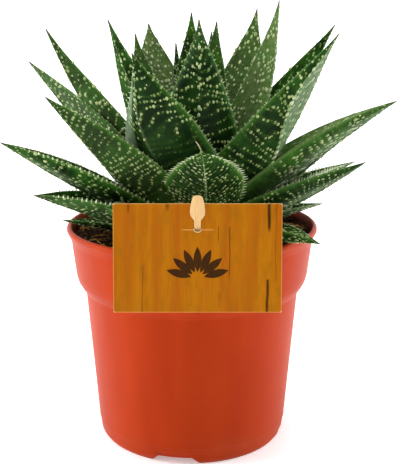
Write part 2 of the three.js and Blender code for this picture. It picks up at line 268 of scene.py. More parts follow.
def noise(place, scale, detail=3.0, roughness=0.5, distortion=0.0):
    return place.node("ShaderNodeTexNoise", (), {
        "Vector": place,
        "Scale": scale,
        "Detail": detail,
        "Roughness": roughness,
        "Distortion": distortion,
    })


# %% [markdown]
# Colours are written as they would be read from a screen, from 0 to 255. Nodes expect the light itself
# instead, which grows faster than the number on the screen, so each colour is made linear first.

# %% Colours and materials
def paint(red, green, blue):
    """A screen colour as the linear colour that nodes expect."""
    def linear(value):
        share = value / 255
        return share / 12.92 if share <= 0.04045 else ((share + 0.055) / 1.055) ** 2.4
    return (linear(red), linear(green), linear(blue), 1.0)


def blend_colours(share, first, second):
    return share.node("ShaderNodeMix", {"data_type": "RGBA"}, {0: share, 6: first, 7: second}, 2)


def new_material(name):
    material = bpy.data.materials.new(name)
    material.use_nodes = True
    material.node_tree.nodes.clear()
    return material, Wire(material.node_tree)


def finish_material(tree, sockets):
    surface = tree.node("ShaderNodeBsdfPrincipled", (), sockets)
    tree.node("ShaderNodeOutputMaterial", (), {"Surface": surface})


def stored(tree, name, output="Fac"):
    """A value that keep_values left on the mesh."""
    return tree.node("ShaderNodeAttribute", {"attribute_name": name}, (), output)


def object_place(tree):
    return tree.node("ShaderNodeTexCoord", (), (), "Object")


def bump(height, distance, strength=1.0):
    return height.node("ShaderNodeBump", (), {
        "Height": height,
        "Distance": distance,
        "Strength": strength,
    })


# %% [markdown]
# ## Camera, light and floor
# The plant stands on a plain pale floor that curves up far behind it. The camera looks a little down
# on it from the front, from about half a metre, with a longish lens. The lens is worked out from its
# focal length in pixels, and the shift puts the point that it looks at in its place.

# %% Camera
LENS_PIXELS = 962.5
IMAGE_WIDTH, IMAGE_HEIGHT = 400, 464
LOOK_CENTRE_X, LOOK_CENTRE_Y = 191.84, 229.09
CAMERA_BACK = 525.0
CAMERA_HEIGHT = 251.95
CAMERA_DOWN = 14.332
SENSOR = 36.0

camera_data = bpy.data.cameras.new("camera")
camera_data.sensor_width = SENSOR
camera_data.lens = SENSOR * LENS_PIXELS / IMAGE_HEIGHT
camera_data.shift_x = (IMAGE_WIDTH / 2 - LOOK_CENTRE_X) / IMAGE_HEIGHT
camera_data.shift_y = (LOOK_CENTRE_Y - IMAGE_HEIGHT / 2) / IMAGE_HEIGHT
camera = bpy.data.objects.new("camera", camera_data)
camera.location = AXIS + Vector((0, -CAMERA_BACK * MM, CAMERA_HEIGHT * MM))
camera.rotation_euler = (radians(90 - CAMERA_DOWN), 0, 0)
bpy.context.scene.collection.objects.link(camera)
bpy.context.scene.camera = camera
print(f"lens {camera_data.lens:.1f} mm")

# %% [markdown]
# Two big soft boxes stand left and right, so that the pot is bright along both sides and darkest right
# of its middle. A soft light from above reaches into the rosette, and a weak one from the front keeps
# the card from going dull. Lamps would be quicker to place, but their hard shadows would hide leaves.

# %% Lights
AIM = AXIS + Vector((0, 0, 0.13))
SOFT_BOXES = [
    ("left_box", (-1.0, -0.05, 0.45), (0.7, 1.0), 11.6),
    ("right_box", (1.0, 0.08, 0.40), (0.6, 1.0), 9.7),
    ("top_box", (-0.1, 0.0, 1.15), (0.8, 0.8), 6.5),
    ("front_box", (-0.6, -1.4, 0.9), (0.7, 0.7), 3.2),
]


def soft_box(name, place, size, power):
    """A rectangular light, in metres from the pot's axis, that faces the plant's middle."""
    light = bpy.data.lights.new(name, "AREA")
    light.shape = "RECTANGLE"
    light.size, light.size_y = size
    light.energy = power
    box = bpy.data.objects.new(name, light)
    box.location = AXIS + Vector(place)
    box.rotation_euler = (AIM - box.location).to_track_quat("-Z", "Y").to_euler()
    bpy.context.scene.collection.objects.link(box)


for row in SOFT_BOXES:
    soft_box(*row)
print(f"{len(SOFT_BOXES)} soft boxes of {sum(row[-1] for row in SOFT_BOXES):.1f} W in all")

# %% [markdown]
# The studio itself is bright behind the plant and dark behind the camera, which keeps the plant's and
# the pot's front from going milky with reflections.

# %% Studio
STUDIO_BACK = (0.34, 0.34, 0.35, 1.0)
STUDIO_FRONT = (0.18, 0.18, 0.19, 1.0)
DARK_UNTIL, BRIGHT_FROM = -0.7, 0.4

world = bpy.data.worlds.new("studio")
world.use_nodes = True
world.node_tree.nodes.clear()
tree = Wire(world.node_tree)
toward_back = part_of(tree.node("ShaderNodeTexCoord", (), (), "Generated"), "Y")
light_around = blend_colours(rise(toward_back, DARK_UNTIL, BRIGHT_FROM), STUDIO_FRONT, STUDIO_BACK)
background = tree.node("ShaderNodeBackground", (), {"Color": light_around, "Strength": 1.0})
tree.node("ShaderNodeOutputWorld", (), {"Surface": background})
bpy.context.scene.world = world
bpy.context.scene.view_settings.view_transform = "Standard"
print(f"the studio's light comes from {len(world.node_tree.nodes)} nodes")

# %% [markdown]
# The floor is a white table that is lit from below, more so away from the plant, so that it stays
# white all the way to the back. It is wide enough that its edge never shows behind a leaf.

# %% Floor surface
GLOW_NEAR, GLOW_FAR = 0.1, 0.8
GLOW_DIM, GLOW_FULL = (0.35, 0.35, 0.35, 1.0), (1.0, 1.0, 1.0, 1.0)

floor_material, tree = new_material("floor_white")
place = object_place(tree)
distance = place.node("ShaderNodeVectorMath", {"operation": "LENGTH"}, {0: place}, "Value")
finish_material(tree, {
    "Base Color": blend_colours(noise(place, 3.0, 2.0), paint(250, 250, 250), paint(247, 247, 248)),
    "Roughness": 0.9,
    "Specular IOR Level": 0.2,
    "Emission Color": blend_colours(rise(distance, GLOW_NEAR, GLOW_FAR), GLOW_DIM, GLOW_FULL),
    "Emission Strength": 0.95,
})
print(f"the floor glows fully from {GLOW_FAR} m on")

# %% [markdown]
# A studio's paper sweep has no corner: the floor turns up into the wall in one quarter circle, so no
# line shows behind the plant. Its section is a short list of points, and two copies of it, far left
# and far right, make the whole sheet.

# %% Floor sweep
FLOOR_HALF_WIDTH = 30.0
FLOOR_FRONT = -30.0
FLOOR_BACK = 3.0
SWEEP_RADIUS = 1.2
SWEEP_STEPS = 24
WALL_TOP = 5.0

sweep = [(FLOOR_FRONT, 0.0), (FLOOR_BACK, 0.0)]
for step in range(1, SWEEP_STEPS + 1):
    turn = pi / 2 * step / SWEEP_STEPS
    sweep.append((FLOOR_BACK + SWEEP_RADIUS * sin(turn), SWEEP_RADIUS * (1 - cos(turn))))
sweep.append((FLOOR_BACK + SWEEP_RADIUS, WALL_TOP))
floor_points = [
    (side * FLOOR_HALF_WIDTH / MM, y / MM, z / MM) for y, z in sweep for side in (-1, 1)
]
floor_faces = [(2 * i, 2 * i + 1, 2 * i + 3, 2 * i + 2) for i in range(len(sweep) - 1)]
floor = new_piece("floor", floor_points, floor_faces, [floor_material])
floor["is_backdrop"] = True
print(f"floor sweep of {len(floor_faces)} faces")

# %% [markdown]
# ## The leaves' skin
# A gasteria's leaf is thick and firm. Its skin is a very dark green with paler green between, glossy
# and nearly unmarked where it clasps the stem, and dry and brown at the very point. The blade's two
# margins and its keel are horny and pale. All of this runs along or across the leaf, so the skin
# reads values that each leaf's mesh keeps: how far along it a point is, how far across, and in which
# of the slanting bands. A pattern in space would cut through the leaf instead of following it.

# %% Patterns in the skin
def skin_patterns(tree):
    """Clouds, a fine mottle, fibres along the leaf and the slanting bands."""
    place = vector(stored(tree, "across"), stored(tree, "along"), stored(tree, "number"))
    clouds = noise(place, 70.0, 3.0)
    mottle = noise(stretched(place, 1.0, 0.6, 1.0), 420.0, 4.0, 0.6)
    fibres = noise(stretched(place, 1.0, 0.06, 1.0), 1500.0, 3.0, 0.6)
    bands = (stored(tree, "phase") * (2 * pi)).put_through("COSINE")
    return place, clouds, mottle, fibres, bands


# %% [markdown]
# The ground colour is built in layers, as a painter would glaze it. Dark green lies under bands of
# olive. Over them come the paler green of young leaves, with painted light on some upper faces, then
# the painted sheen, a grey-green reflection of the bright studio painted onto a flank, and a fresh
# green in the clouds, at the base and towards the margins. Each layer is laid in by a share from 0 to
# 1, so a leaf can have as much of it as its own values say.

# %% Greens of the skin
GREENS = {
    "dark": (paint(16, 34, 14), paint(28, 56, 22)),
    "olive": (paint(38, 66, 18), paint(54, 80, 24)),
    "fresh": (paint(48, 100, 28), paint(70, 122, 38)),
    "young": (paint(90, 117, 62), paint(121, 142, 88)),
    # The sheen greens are painted light: a reflection of the bright studio painted onto a flank.
    "painted_sheen": (paint(96, 122, 88), paint(134, 154, 118)),
}
SHEEN_THREADS = paint(56, 88, 42)


def skin_greens(tree, base, clouds, mottle, fibres, bands):
    def green(name, pattern=mottle, low=0.3):
        return blend_colours(rise(pattern, low, 0.7), *GREENS[name])

    fresh = green("fresh")
    painted_sheen = blend_colours(rise(fibres, 0.45, 0.72) * 0.5, green("painted_sheen"), SHEEN_THREADS)
    banded = rise(bands + (mottle - 0.5) * 2.6, -0.5, 1.4) * 0.45
    colour = blend_colours(banded, green("dark", clouds, 0.35), green("olive"))
    # Pale layer: young leaves' lighter green, and painted light on some upper faces.
    colour = blend_colours(stored(tree, "pale"), colour, green("young"))
    # Painted sheen: the flank's reflection of the bright studio, painted into the colour.
    colour = blend_colours(stored(tree, "sheen"), colour, painted_sheen)
    colour = blend_colours(rise(clouds, 0.36, 0.7) * stored(tree, "fresh"), colour, fresh)
    colour = blend_colours(base * stored(tree, "base_fresh"), colour, fresh)
    colour = blend_colours(rise(fibres, 0.5, 0.8) * 0.14, colour, fresh)
    return blend_colours(rise(stored(tree, "edge"), 0.83, 0.98) * 0.42, colour, fresh)


print(f"{len(GREENS)} pairs of greens")

# %% [markdown]
# Over the greens lie the marks: pale freckles between the tubercles, the horny margins and keel line,
# and the tip. A tip dries to olive and then to brown. On the leaf in front it is a needle, green first
# and cream at its end.

# %% Marks on the skin
FRECKLE = paint(104, 128, 66)
HORN_EDGE = paint(112, 146, 70)
KEEL_LINE = paint(176, 194, 140)
DRY_SKIN, DEAD_TIP = paint(84, 88, 52), paint(72, 62, 46)
NEEDLE_GREEN, NEEDLE_CREAM = paint(96, 122, 62), paint(176, 160, 132)


def skin_freckles(place, share, bands):
    cells = place.node(
        "ShaderNodeTexVoronoi", (), {"Vector": place, "Scale": 560.0, "Randomness": 1.0}
    )
    return (1 - rise(cells, 0.12, 0.42)) * rise(bands, -0.3, 0.8) * rise(share, 0.2, 0.4)


def skin_marks(tree, colour, share, freckles, dry):
    edge = stored(tree, "edge")
    colour = blend_colours(freckles * 0.5, colour, FRECKLE)
    horn = rise(edge, 0.965, 0.995) * rise(share, 0.08, 0.25)
    colour = blend_colours(horn * 0.45, colour, HORN_EDGE)
    keel = (1 - rise(edge, 0.01, 0.055)) * (1 - stored(tree, "upper")) * rise(share, 0.45, 0.75)
    colour = blend_colours(keel * stored(tree, "keel_line"), colour, KEEL_LINE)
    colour = blend_colours(dry * 0.7, colour, DRY_SKIN)
    colour = blend_colours(rise(share, 0.984, 0.997) * 0.7, colour, DEAD_TIP)
    needle = stored(tree, "cream_tip") * rise(share, 0.9, 0.94)
    colour = blend_colours(needle, colour, NEEDLE_GREEN)
    return blend_colours(needle * rise(share, 0.93, 0.97), colour, NEEDLE_CREAM)


# %% [markdown]
# The finish matters as much as the colour. The skin is satin rather than wet, shinier at the base and
# on the flanks that carry the painted sheen, dull where it is dry, and never quite smooth. A thin coat
# gives the shine on the under side alone, and a bump from the same patterns gives the fine grain,
# which would be far too many faces as real relief.

# %% Leaf skin
SKIN_RELIEF = 0.22 * MM


def leaf_skin():
    material, tree = new_material("leaf_skin")
    place, clouds, mottle, fibres, bands = skin_patterns(tree)
    share = stored(tree, "share")
    base = 1 - rise(share + (clouds - 0.5) * 0.14, 0.08, 0.36)
    dry = rise(share + (mottle - 0.5) * 0.03, 0.955, 0.99)
    freckles = skin_freckles(place, share, bands)
    greens = skin_greens(tree, base, clouds, mottle, fibres, bands)
    coat = (0.09 + stored(tree, "sheen") * 0.25 + base * 0.08) * (1 - stored(tree, "upper"))
    relief = mottle * 0.5 + fibres * 0.35 + clouds * 0.6 + freckles * 0.8
    finish_material(tree, {
        "Base Color": skin_marks(tree, greens, share, freckles, dry),
        "Roughness": 0.36 + mottle * 0.16 + dry * 0.3 - base * 0.06,
        "Specular IOR Level": 0.0,
        "Coat Weight": coat,
        "Coat Roughness": 0.32,
        "Normal": bump(relief, SKIN_RELIEF, 0.8),
    })
    return material


LEAF_SKIN = leaf_skin()
print(f"the leaf skin has {len(LEAF_SKIN.node_tree.nodes)} nodes")

# %% [markdown]
# The spots on the skin are low, pale tubercles, and the teeth on the margins and on the keel are the
# same horny stuff. Both are real shapes, so their material only has to vary their tone a little. Where
# the skin carries the painted sheen they are whitened with it as painted reflection, and on a pale
# leaf, or an upper face with painted light, they are paler too.

# %% Tubercles and teeth
SHEEN_AND_PALE_HORN = paint(204, 212, 184)
HORN_RELIEF = 0.06 * MM


def horn_material(name, low, high, roughness):
    material, tree = new_material(name)
    place = object_place(tree)
    grain = noise(place, 2200.0, 2.0)
    colour = blend_colours(rise(noise(place, 260.0, 3.0), 0.36, 0.64), low, high)
    # Whitening from the painted sheen, a painted reflection, and from the pale share, which is partly
    # painted light.
    sheen_and_pale_whitening = stored(tree, "sheen") * 0.7 + stored(tree, "pale") * 0.4
    finish_material(tree, {
        "Base Color": blend_colours(sheen_and_pale_whitening, colour, SHEEN_AND_PALE_HORN),
        "Roughness": roughness + grain * 0.12,
        "Specular IOR Level": 0.4,
        "Normal": bump(grain, HORN_RELIEF),
    })
    return material


TUBERCLE = horn_material("pale_tubercle", paint(102, 132, 58), paint(176, 190, 126), 0.46)
KEEL_TUBERCLE = horn_material("keel_tubercle", paint(132, 156, 98), paint(190, 202, 156), 0.44)
TOOTH = horn_material("horny_tooth", paint(160, 182, 124), paint(214, 222, 184), 0.4)
MARGIN = horn_material("margin_line", paint(62, 92, 42), paint(104, 132, 72), 0.42)
print("four horny materials")

# %% [markdown]
# ## The leaves' shape
# A row gives the compass angle, reach and height of a leaf's tip, the height at which its base leaves
# the stem, its breadth and thickness, how long it stays broad, and how it bows, sways, rolls and
# hooks. The same rule makes every leaf, so 33 blades need one function. Modelling them one by one
# would give more freedom, but then no leaf could be changed without sculpting it again. Two blades
# grow so close, one in front of the other, that they share one solid in the frame: middle_leaf_2 and
# its front one.

# %% The plan of the rosette
LEAF_COLUMNS = [
    "name", "angle", "reach", "top", "start", "wide", "thick", "full", "bow", "sway", "turn", "hook",
]
LEAVES = [
    ["inner_leaf_1", 92, 6, 237, 140, 28, 6, 3.0, 0, 0, 0, 0],
    ["inner_leaf_2", 60, 22, 226, 138, 16, 4, 3.0, -1, 0, 20, 0],
    ["inner_leaf_3", 41, 18, 232, 136, 28, 6, 3.0, -2, 0, 30, 0],
    ["inner_leaf_4", 114, 22, 220, 134, 14, 4, 3.0, -2, 0, 0, 0],
    ["inner_leaf_5", -72, 12, 234, 131, 49, 10, 2.7, -5, 0, -20, 0],
    ["inner_leaf_6", 141, 41, 225, 128, 34, 8, 3.0, -5, 0, -20, 0],
    ["inner_leaf_7", 22, 52, 243.3, 126, 36, 8, 3.0, -7, 0, 15, 0],
    ["inner_leaf_8", 122, 47, 230, 124, 40, 8, 4.5, -5, 0, -10, 0],
    ["inner_leaf_9", 47, 55, 238.4, 122, 52, 8, 3.4, -6, 0, 0, 0],
    ["middle_leaf_1", 14, 82, 230, 122, 36, 9, 3.2, 0, 0, 25, 0],
    ["middle_leaf_2", -137, 57, 235, 121, 31, 10, 2.8, 3, -4.5, 20, 0],
    ["middle_leaf_2_front", -125, 52, 218.8, 120, 58, 12, 3.0, -2, 4, 20, 0],
    ["middle_leaf_3", -26, 82, 228, 120, 47, 10, 2.5, -1, 0, -24, 0],
    ["middle_leaf_4", -178, 78, 229, 119, 42, 10, 3.2, -0.5, 0, 29, 0],
    ["middle_leaf_5", 75, 72, 205, 119, 40, 9, 3.0, 0, 0, 0, 0],
    ["middle_leaf_6", 175, 90, 211, 118, 46, 11, 3.2, 5, 0, 22, 0],
    ["middle_leaf_7", 0, 112, 190, 118, 44, 19, 2.5, 10, 0, -3, 0],
    ["middle_leaf_8", 122, 76, 176, 117, 40, 9, 3.0, 0, 0, 0, 0],
    ["middle_leaf_9", -154, 83, 196.5, 117, 44, 12, 3.2, 3, 6, 22, 0],
    ["outer_leaf_1", 48, 88, 166, 116, 40, 9, 3.0, 2, 0, 0, 0],
    ["outer_leaf_2", 12, 96, 153, 116, 36, 8, 3.2, 4, 0, -6, 0],
    ["outer_leaf_3", -160, 105, 173, 116, 40, 12, 3.4, 6, 0, 1, 0],
    ["outer_leaf_4", -9, 95, 159, 115, 40, 10, 3.4, 2.3, 0, -16, 0],
    ["outer_leaf_5", -87, 75, 172, 115, 42.8, 12, 4.6, 9, 5, 0, 8],
    ["outer_leaf_6", 97, 92, 160, 115, 40, 9, 3.0, 3, 0, 0, 0],
    ["outer_leaf_7", 144, 84, 137, 114, 38, 9, 3.0, 2, 0, 0, 0],
    ["outer_leaf_8", -154, 91, 146, 114, 42, 12, 3.4, 7, 0, -2, 0],
    ["outer_leaf_9", 70, 88, 138, 113, 36, 8, 3.0, 3, 0, 0, 0],
    ["outer_leaf_10", -42, 87, 125, 113, 38, 10, 3.4, 9, 0, -10, 0],
    ["outer_leaf_11", 18, 81, 127, 113, 28, 7, 3.0, 4, 0, 0, 0],
    ["outer_leaf_12", 120, 84, 127, 113, 30, 7, 3.0, 4, 0, 0, 0],
    ["outer_leaf_13", -131.2, 67.2, 142, 113, 29, 8, 4.5, 2.5, 0, -22, 0],
    ["outer_leaf_14", -170, 72, 126, 113, 20, 6, 3.0, 3, 0, 0, 0],
]
print(f"{len(LEAVES)} blades are planned")

# %% [markdown]
# Each leaf also has a look of its own. Its entries fall in four groups:
#
# - Colour: how pale the leaf is, and how much painted light its upper face gets besides. How much fresh
#   green it has, all over and at its base. How much painted sheen, a reflection of the studio painted
#   into the colour, lies on its left and right flanks, between which places across it, and up to which
#   share of its length. How strong its keel line is, and whether its tip is cream.
# - Shape: how far the keel lies to one side, and how far it moves on its way to the tip. How the blade
#   twists, how its point leans, how narrow its base is, where its outline ends and how sharply, and
#   how thick the needle at its tip is.
# - Bands: how far apart they lie and how steeply they slant.
# - Relief: how far the teeth lean to the upper side, and the entries with capitals, which are the
#   inputs of the tree that adds the relief. Those that are sizes are in millimetres.

# %% The usual look of a leaf
USUAL_LOOK = {
    "pale": 0.0, "upper_painted_light": 0.0, "fresh": 0.2, "base_fresh": 0.65,
    "left_sheen": 0.0, "right_sheen": 0.0, "sheen_from": -0.3, "sheen_width": 1.2, "sheen_fade": 0.1,
    "sheen_end": 1.3, "keel_line": 0.06, "cream_tip": 0.0,
    "keel_shift": 0.0, "keel_run": 0.0, "twist": 0.0, "tip_lean": 0.0, "clasp": 0.72,
    "blade_end": 1.0, "tip_power": 1.65, "needle": 0.9,
    "band_spacing": 5.2, "band_slant": 0.55, "tooth_rise": 0.4,
    "Tooth Spacing": 3.1, "Tooth Height": 1.25, "Bead Radius": 0.16,
    "Tubercle Spacing": 1.95, "Tubercle Size": 0.76, "Tubercle Stretch": 1.2,
    "Keel Spacing": 2.7, "Keel Size": 0.8,
    "Follow Rows": 0.0, "Upper Spots": 0.8, "Sheen Spots": 1.0, "Smooth Base": 0.3,
}
print(f"{len(USUAL_LOOK)} entries in a look")

# %% [markdown]
# Some leaves differ from the rest. The young ones at the back and in the heart are a lighter, yellower
# green, and a few carry a painted sheen on one flank or both, a reflection of the bright studio painted
# into their colour. Two get painted light on their upper face. On some the keel is a pale line or lies
# nearer to one margin. The leaf in front is cupped and round-shouldered, with a needle for a tip,
# much closer bands, and streaks that fan out from its keel. Only what differs is written down, so a
# leaf that isn't named here has the usual look.

# %% What differs from leaf to leaf
OWN_LOOKS = {
    "inner_leaf_1": {"pale": 0.1, "fresh": 1.0},
    "inner_leaf_3": {"pale": 0.25, "fresh": 0.9, "Tooth Height": 1.6},
    "inner_leaf_5": {
        "fresh": 0.1, "base_fresh": 0.0, "keel_line": 0.0, "band_spacing": 4.6,
        "Keel Spacing": 3.5, "Keel Size": 0.9,
    },
    "inner_leaf_6": {"pale": 0.4, "fresh": 0.5},
    "inner_leaf_7": {
        "pale": 0.6, "fresh": 0.3, "right_sheen": 0.3, "band_spacing": 4.6,
        "Tubercle Spacing": 2.3, "Tubercle Size": 1.05, "Smooth Base": 0.1,
    },
    "inner_leaf_8": {
        "pale": 0.9, "band_spacing": 3.8, "Tubercle Size": 0.9, "Upper Spots": 1.0,
        "Smooth Base": 0.1,
    },
    "inner_leaf_9": {
        "pale": 0.25, "band_spacing": 4.4, "Tubercle Spacing": 2.2, "Tubercle Size": 1.0,
        "Smooth Base": 0.1,
    },
    "middle_leaf_1": {"fresh": 0.5},
    "middle_leaf_2": {
        "fresh": 0.5, "keel_line": 0.3, "keel_shift": 0.35, "Tubercle Spacing": 2.9,
        "Keel Spacing": 3.6, "Keel Size": 0.6,
    },
    "middle_leaf_2_front": {
        "fresh": 0.04, "base_fresh": 0.0, "left_sheen": 0.8, "sheen_from": 0.4, "sheen_end": 0.95,
        "keel_line": 0.2, "keel_shift": -0.1, "keel_run": -0.42,
        "Tooth Height": 1.5, "Sheen Spots": 0.5, "Keel Spacing": 3.2, "Smooth Base": 0.66,
    },
    "middle_leaf_3": {
        "base_fresh": 0.25, "right_sheen": 0.6, "keel_line": 0.5, "keel_shift": 0.38,
        "keel_run": -1.1, "twist": -16, "Sheen Spots": 0.4, "Keel Spacing": 3.4, "Keel Size": 1.1,
    },
    "middle_leaf_4": {
        "pale": 0.15, "fresh": 0.4, "right_sheen": 0.7, "sheen_width": 0.5, "sheen_fade": 0.35,
        "sheen_end": 0.72, "tip_power": 2.4, "band_spacing": 4.4,
        "Tubercle Spacing": 1.7, "Tubercle Size": 0.92, "Smooth Base": 0.2,
    },
    "middle_leaf_6": {
        "pale": 0.15, "fresh": 0.4, "left_sheen": 0.3, "right_sheen": 0.15, "band_spacing": 3.6,
        "Tubercle Spacing": 1.7, "Tubercle Size": 0.66, "Smooth Base": 0.2,
    },
    "middle_leaf_7": {
        "pale": 0.1, "upper_painted_light": 0.8, "fresh": 0.55, "base_fresh": 1.0, "left_sheen": 0.7,
        "sheen_width": 0.85, "sheen_fade": 0.75, "keel_line": 0.3, "band_spacing": 4.2,
        "band_slant": 0.5, "Tooth Height": 0.9, "Tubercle Spacing": 2.1, "Tubercle Size": 0.92,
        "Tubercle Stretch": 1.4, "Upper Spots": 0.2, "Smooth Base": 0.4,
    },
    "middle_leaf_9": {
        "pale": 0.1, "fresh": 0.25, "base_fresh": 0.4, "left_sheen": 0.25, "band_spacing": 3.9,
        "Tubercle Spacing": 1.8, "Tubercle Size": 0.7, "Smooth Base": 0.36,
    },
    "outer_leaf_2": {
        "left_sheen": 0.8, "sheen_from": 0.7, "tooth_rise": 1.4, "Tooth Spacing": 2.0,
        "Tooth Height": 3.2, "Bead Radius": 0.3, "Tubercle Size": 0.9,
    },
    "outer_leaf_3": {
        "fresh": 0.4, "left_sheen": 0.4, "right_sheen": 0.5, "sheen_width": 0.6, "sheen_fade": 0.5,
        "band_spacing": 4.6, "band_slant": 0.2, "Tooth Spacing": 2.5, "Tooth Height": 2.6,
        "Tubercle Spacing": 2.5, "Tubercle Size": 0.85,
    },
    "outer_leaf_4": {
        "fresh": 0.1, "left_sheen": 0.65, "right_sheen": 0.5, "sheen_width": 0.55, "sheen_fade": 0.45,
        "band_spacing": 3.6, "Tubercle Size": 0.64,
    },
    "outer_leaf_5": {
        "fresh": 0.15, "base_fresh": 0.4, "left_sheen": 0.05, "keel_line": 0.4, "cream_tip": 1.0,
        "tip_lean": -2.4, "clasp": 1.1, "blade_end": 0.91, "tip_power": 1.05, "needle": 0.62,
        "band_spacing": 3.1, "band_slant": 2.4, "tooth_rise": 0.0,
        "Tooth Spacing": 2.8, "Tooth Height": 2.3, "Bead Radius": 0.06,
        "Tubercle Spacing": 2.4, "Tubercle Size": 0.8, "Tubercle Stretch": 1.1,
        "Keel Size": 0.5, "Follow Rows": 1.0, "Smooth Base": 0.2,
    },
    "outer_leaf_8": {
        "fresh": 0.4, "left_sheen": 0.15, "right_sheen": 0.12, "tooth_rise": 0.9,
        "Tooth Spacing": 2.4, "Tooth Height": 2.6, "Bead Radius": 0.3, "Upper Spots": 0.5,
    },
    "outer_leaf_10": {"keel_line": 0.6, "band_slant": 1.2, "Tubercle Stretch": 1.5},
    "outer_leaf_11": {"left_sheen": 0.5, "right_sheen": 0.5},
    "outer_leaf_13": {
        "fresh": 1.0, "upper_painted_light": 0.3, "left_sheen": 0.9, "right_sheen": 0.9, "sheen_from": 0.7,
        "Bead Radius": 0.5, "Tooth Height": 0.7, "Upper Spots": 0.0,
    },
}
print(f"{len(OWN_LOOKS)} blades differ from the usual look")

# %% [markdown]
# Row and look are put together in one dictionary for each leaf. Each leaf also gets a random generator
# of its own, with a fixed seed, so that changing one leaf leaves the others as they are.

# %% Gather the leaves
FIRST_SEED = 100
WANDER_SHAPE = (3, 3)

rosette = []
for number, row in enumerate(LEAVES):
    leaf = {**dict(zip(LEAF_COLUMNS, row)), **USUAL_LOOK, **OWN_LOOKS.get(row[0], {})}
    leaf["number"] = number
    leaf["draw"] = np.random.default_rng(FIRST_SEED + number)
    leaf["wave"] = leaf["draw"].uniform(0, 2 * pi)
    leaf["wander"] = leaf["draw"].uniform(0, 2 * pi, WANDER_SHAPE)
    rosette.append(leaf)
print(f"{len(rosette)} leaves, the highest tip at {max(leaf['top'] for leaf in rosette)} mm")

# %% [markdown]
# A leaf starts as a line: straight from its base on the stem to its tip, then bent by its bow and its
# sway. At each share of its length the line has three directions, forward, sideways and up, and the
# whole leaf is laid out along them. A curve object with a bevel could do this, but its section can't
# change from a clasping base to a keeled blade.

# %% The line of a leaf
BASE_RADIUS = 3.0
HOOK_SHARPNESS = 8
LEAN_SHARPNESS = 22
SHORTEST = 1e-12


def unit(vectors):
    """The vectors with a length of 1. One without a length stays as it is."""
    return vectors / np.maximum(np.linalg.norm(vectors, axis=-1, keepdims=True), SHORTEST)


def leaf_lines(leaf, share):
    """The leaf's middle line and its forward, sideways and upward directions."""
    angle = radians(leaf["angle"])
    roll = np.radians(leaf["turn"] + leaf["twist"] * share ** 2)[..., None]
    outward = np.array([cos(angle), sin(angle), 0.0])
    across = np.array([-sin(angle), cos(angle), 0.0])
    base = outward * BASE_RADIUS + [0, 0, leaf["start"]]
    chord = outward * leaf["reach"] + [0, 0, leaf["top"]] - base
    above = np.cross(unit(chord), across)
    bend = above * leaf["bow"] + across * leaf["sway"]
    side = across * np.cos(roll) + above * np.sin(roll)
    t = share[..., None]
    middle = base + chord * t + bend * 4 * t * (1 - t)
    middle[..., 2] += leaf["hook"] * share ** HOOK_SHARPNESS
    middle = middle + across * leaf["tip_lean"] * t ** LEAN_SHARPNESS
    along = unit(chord + bend * 4 * (1 - 2 * t))
    right = unit(side - along * np.sum(along * side, axis=-1, keepdims=True))
    return middle, along, right, np.cross(along, right)


def leaf_length(leaf):
    return sqrt((leaf["reach"] - BASE_RADIUS) ** 2 + (leaf["top"] - leaf["start"]) ** 2)


lengths = [leaf_length(leaf) for leaf in rosette]
print(f"leaves from {min(lengths):.0f} to {max(lengths):.0f} mm long")

# %% [markdown]
# The outline gives half the breadth and the thickness at each share of the length. A leaf is a little
# narrower and thinner where it clasps the stem, broad for most of its way, and then closes to a point.
# A thin needle is added near the tip, because a gasteria's leaf ends in a short hard spine, and a
# slight wave keeps the margins from looking drawn with a ruler.

# %% The outline of a leaf
CLASP_END = 0.3
SWELL = 0.6
THICKNESS_TAPER = 1.1
NEEDLE_POINT = 0.2
NEEDLE_FROM, NEEDLE_FULL = 0.3, 0.9
MARGIN_WAVE, MARGIN_WAVINESS = 0.012, 19


def leaf_outline(leaf, share):
    """Half the leaf's breadth, and its thickness."""
    clasp = leaf["clasp"] + (1 - leaf["clasp"]) * smoothstep(share, 0, CLASP_END)
    swell = SWELL + (1 - SWELL) * smoothstep(share, 0, CLASP_END)
    taper = 1 - np.clip(share / leaf["blade_end"], 0, 1) ** leaf["full"]
    needle = leaf["needle"] * (1 - share) ** NEEDLE_POINT
    needle = needle * smoothstep(share, NEEDLE_FROM, NEEDLE_FULL)
    half = leaf["wide"] / 2 * clasp * taper ** leaf["tip_power"] + needle
    half = half * (1 + MARGIN_WAVE * np.sin(share * MARGIN_WAVINESS + leaf["wave"]))
    return half, leaf["thick"] * swell * taper ** THICKNESS_TAPER + needle


# %% [markdown]
# The section across the blade has a slightly hollow upper face, sharp margins, rounded flanks and a
# keel. It is one formula for the height of the skin over the middle line, at places from -1 at the
# left margin to 1 at the right one. The keel may lie nearer to one margin, as it does where a leaf
# grew pressed against its neighbour.

# %% The section of a leaf
DISH = 0.07
FLANK_ROUNDING = 0.62
KEEL_RIDGE, KEEL_RIDGE_WIDTH = 0.055, 0.07
KEEL_RUN_FROM, KEEL_RUN_TO = 0.4, 0.82
SKIN_RIPPLE = 0.012
RIPPLES_ALONG, RIPPLES_ACROSS = 14, 2.5


def section_heights(across, upper, half, depth):
    """The height of the leaf's surface over its middle line."""
    lift = DISH * half
    place = np.abs(across)
    under = (1 - place) ** FLANK_ROUNDING * (1 - KEEL_RIDGE)
    under = under + KEEL_RIDGE * np.exp(-place / KEEL_RIDGE_WIDTH)
    return np.where(upper, lift * (2 * place ** 2 - 1), lift - (lift + depth) * under)


def keel_moved(leaf, share, across, upper):
    """Places across the leaf once its keel, at 0, has moved towards one margin."""
    shift = leaf["keel_shift"] + leaf["keel_run"] * smoothstep(share, KEEL_RUN_FROM, KEEL_RUN_TO)
    return np.where(upper, across, across + shift * (1 - np.abs(across)))


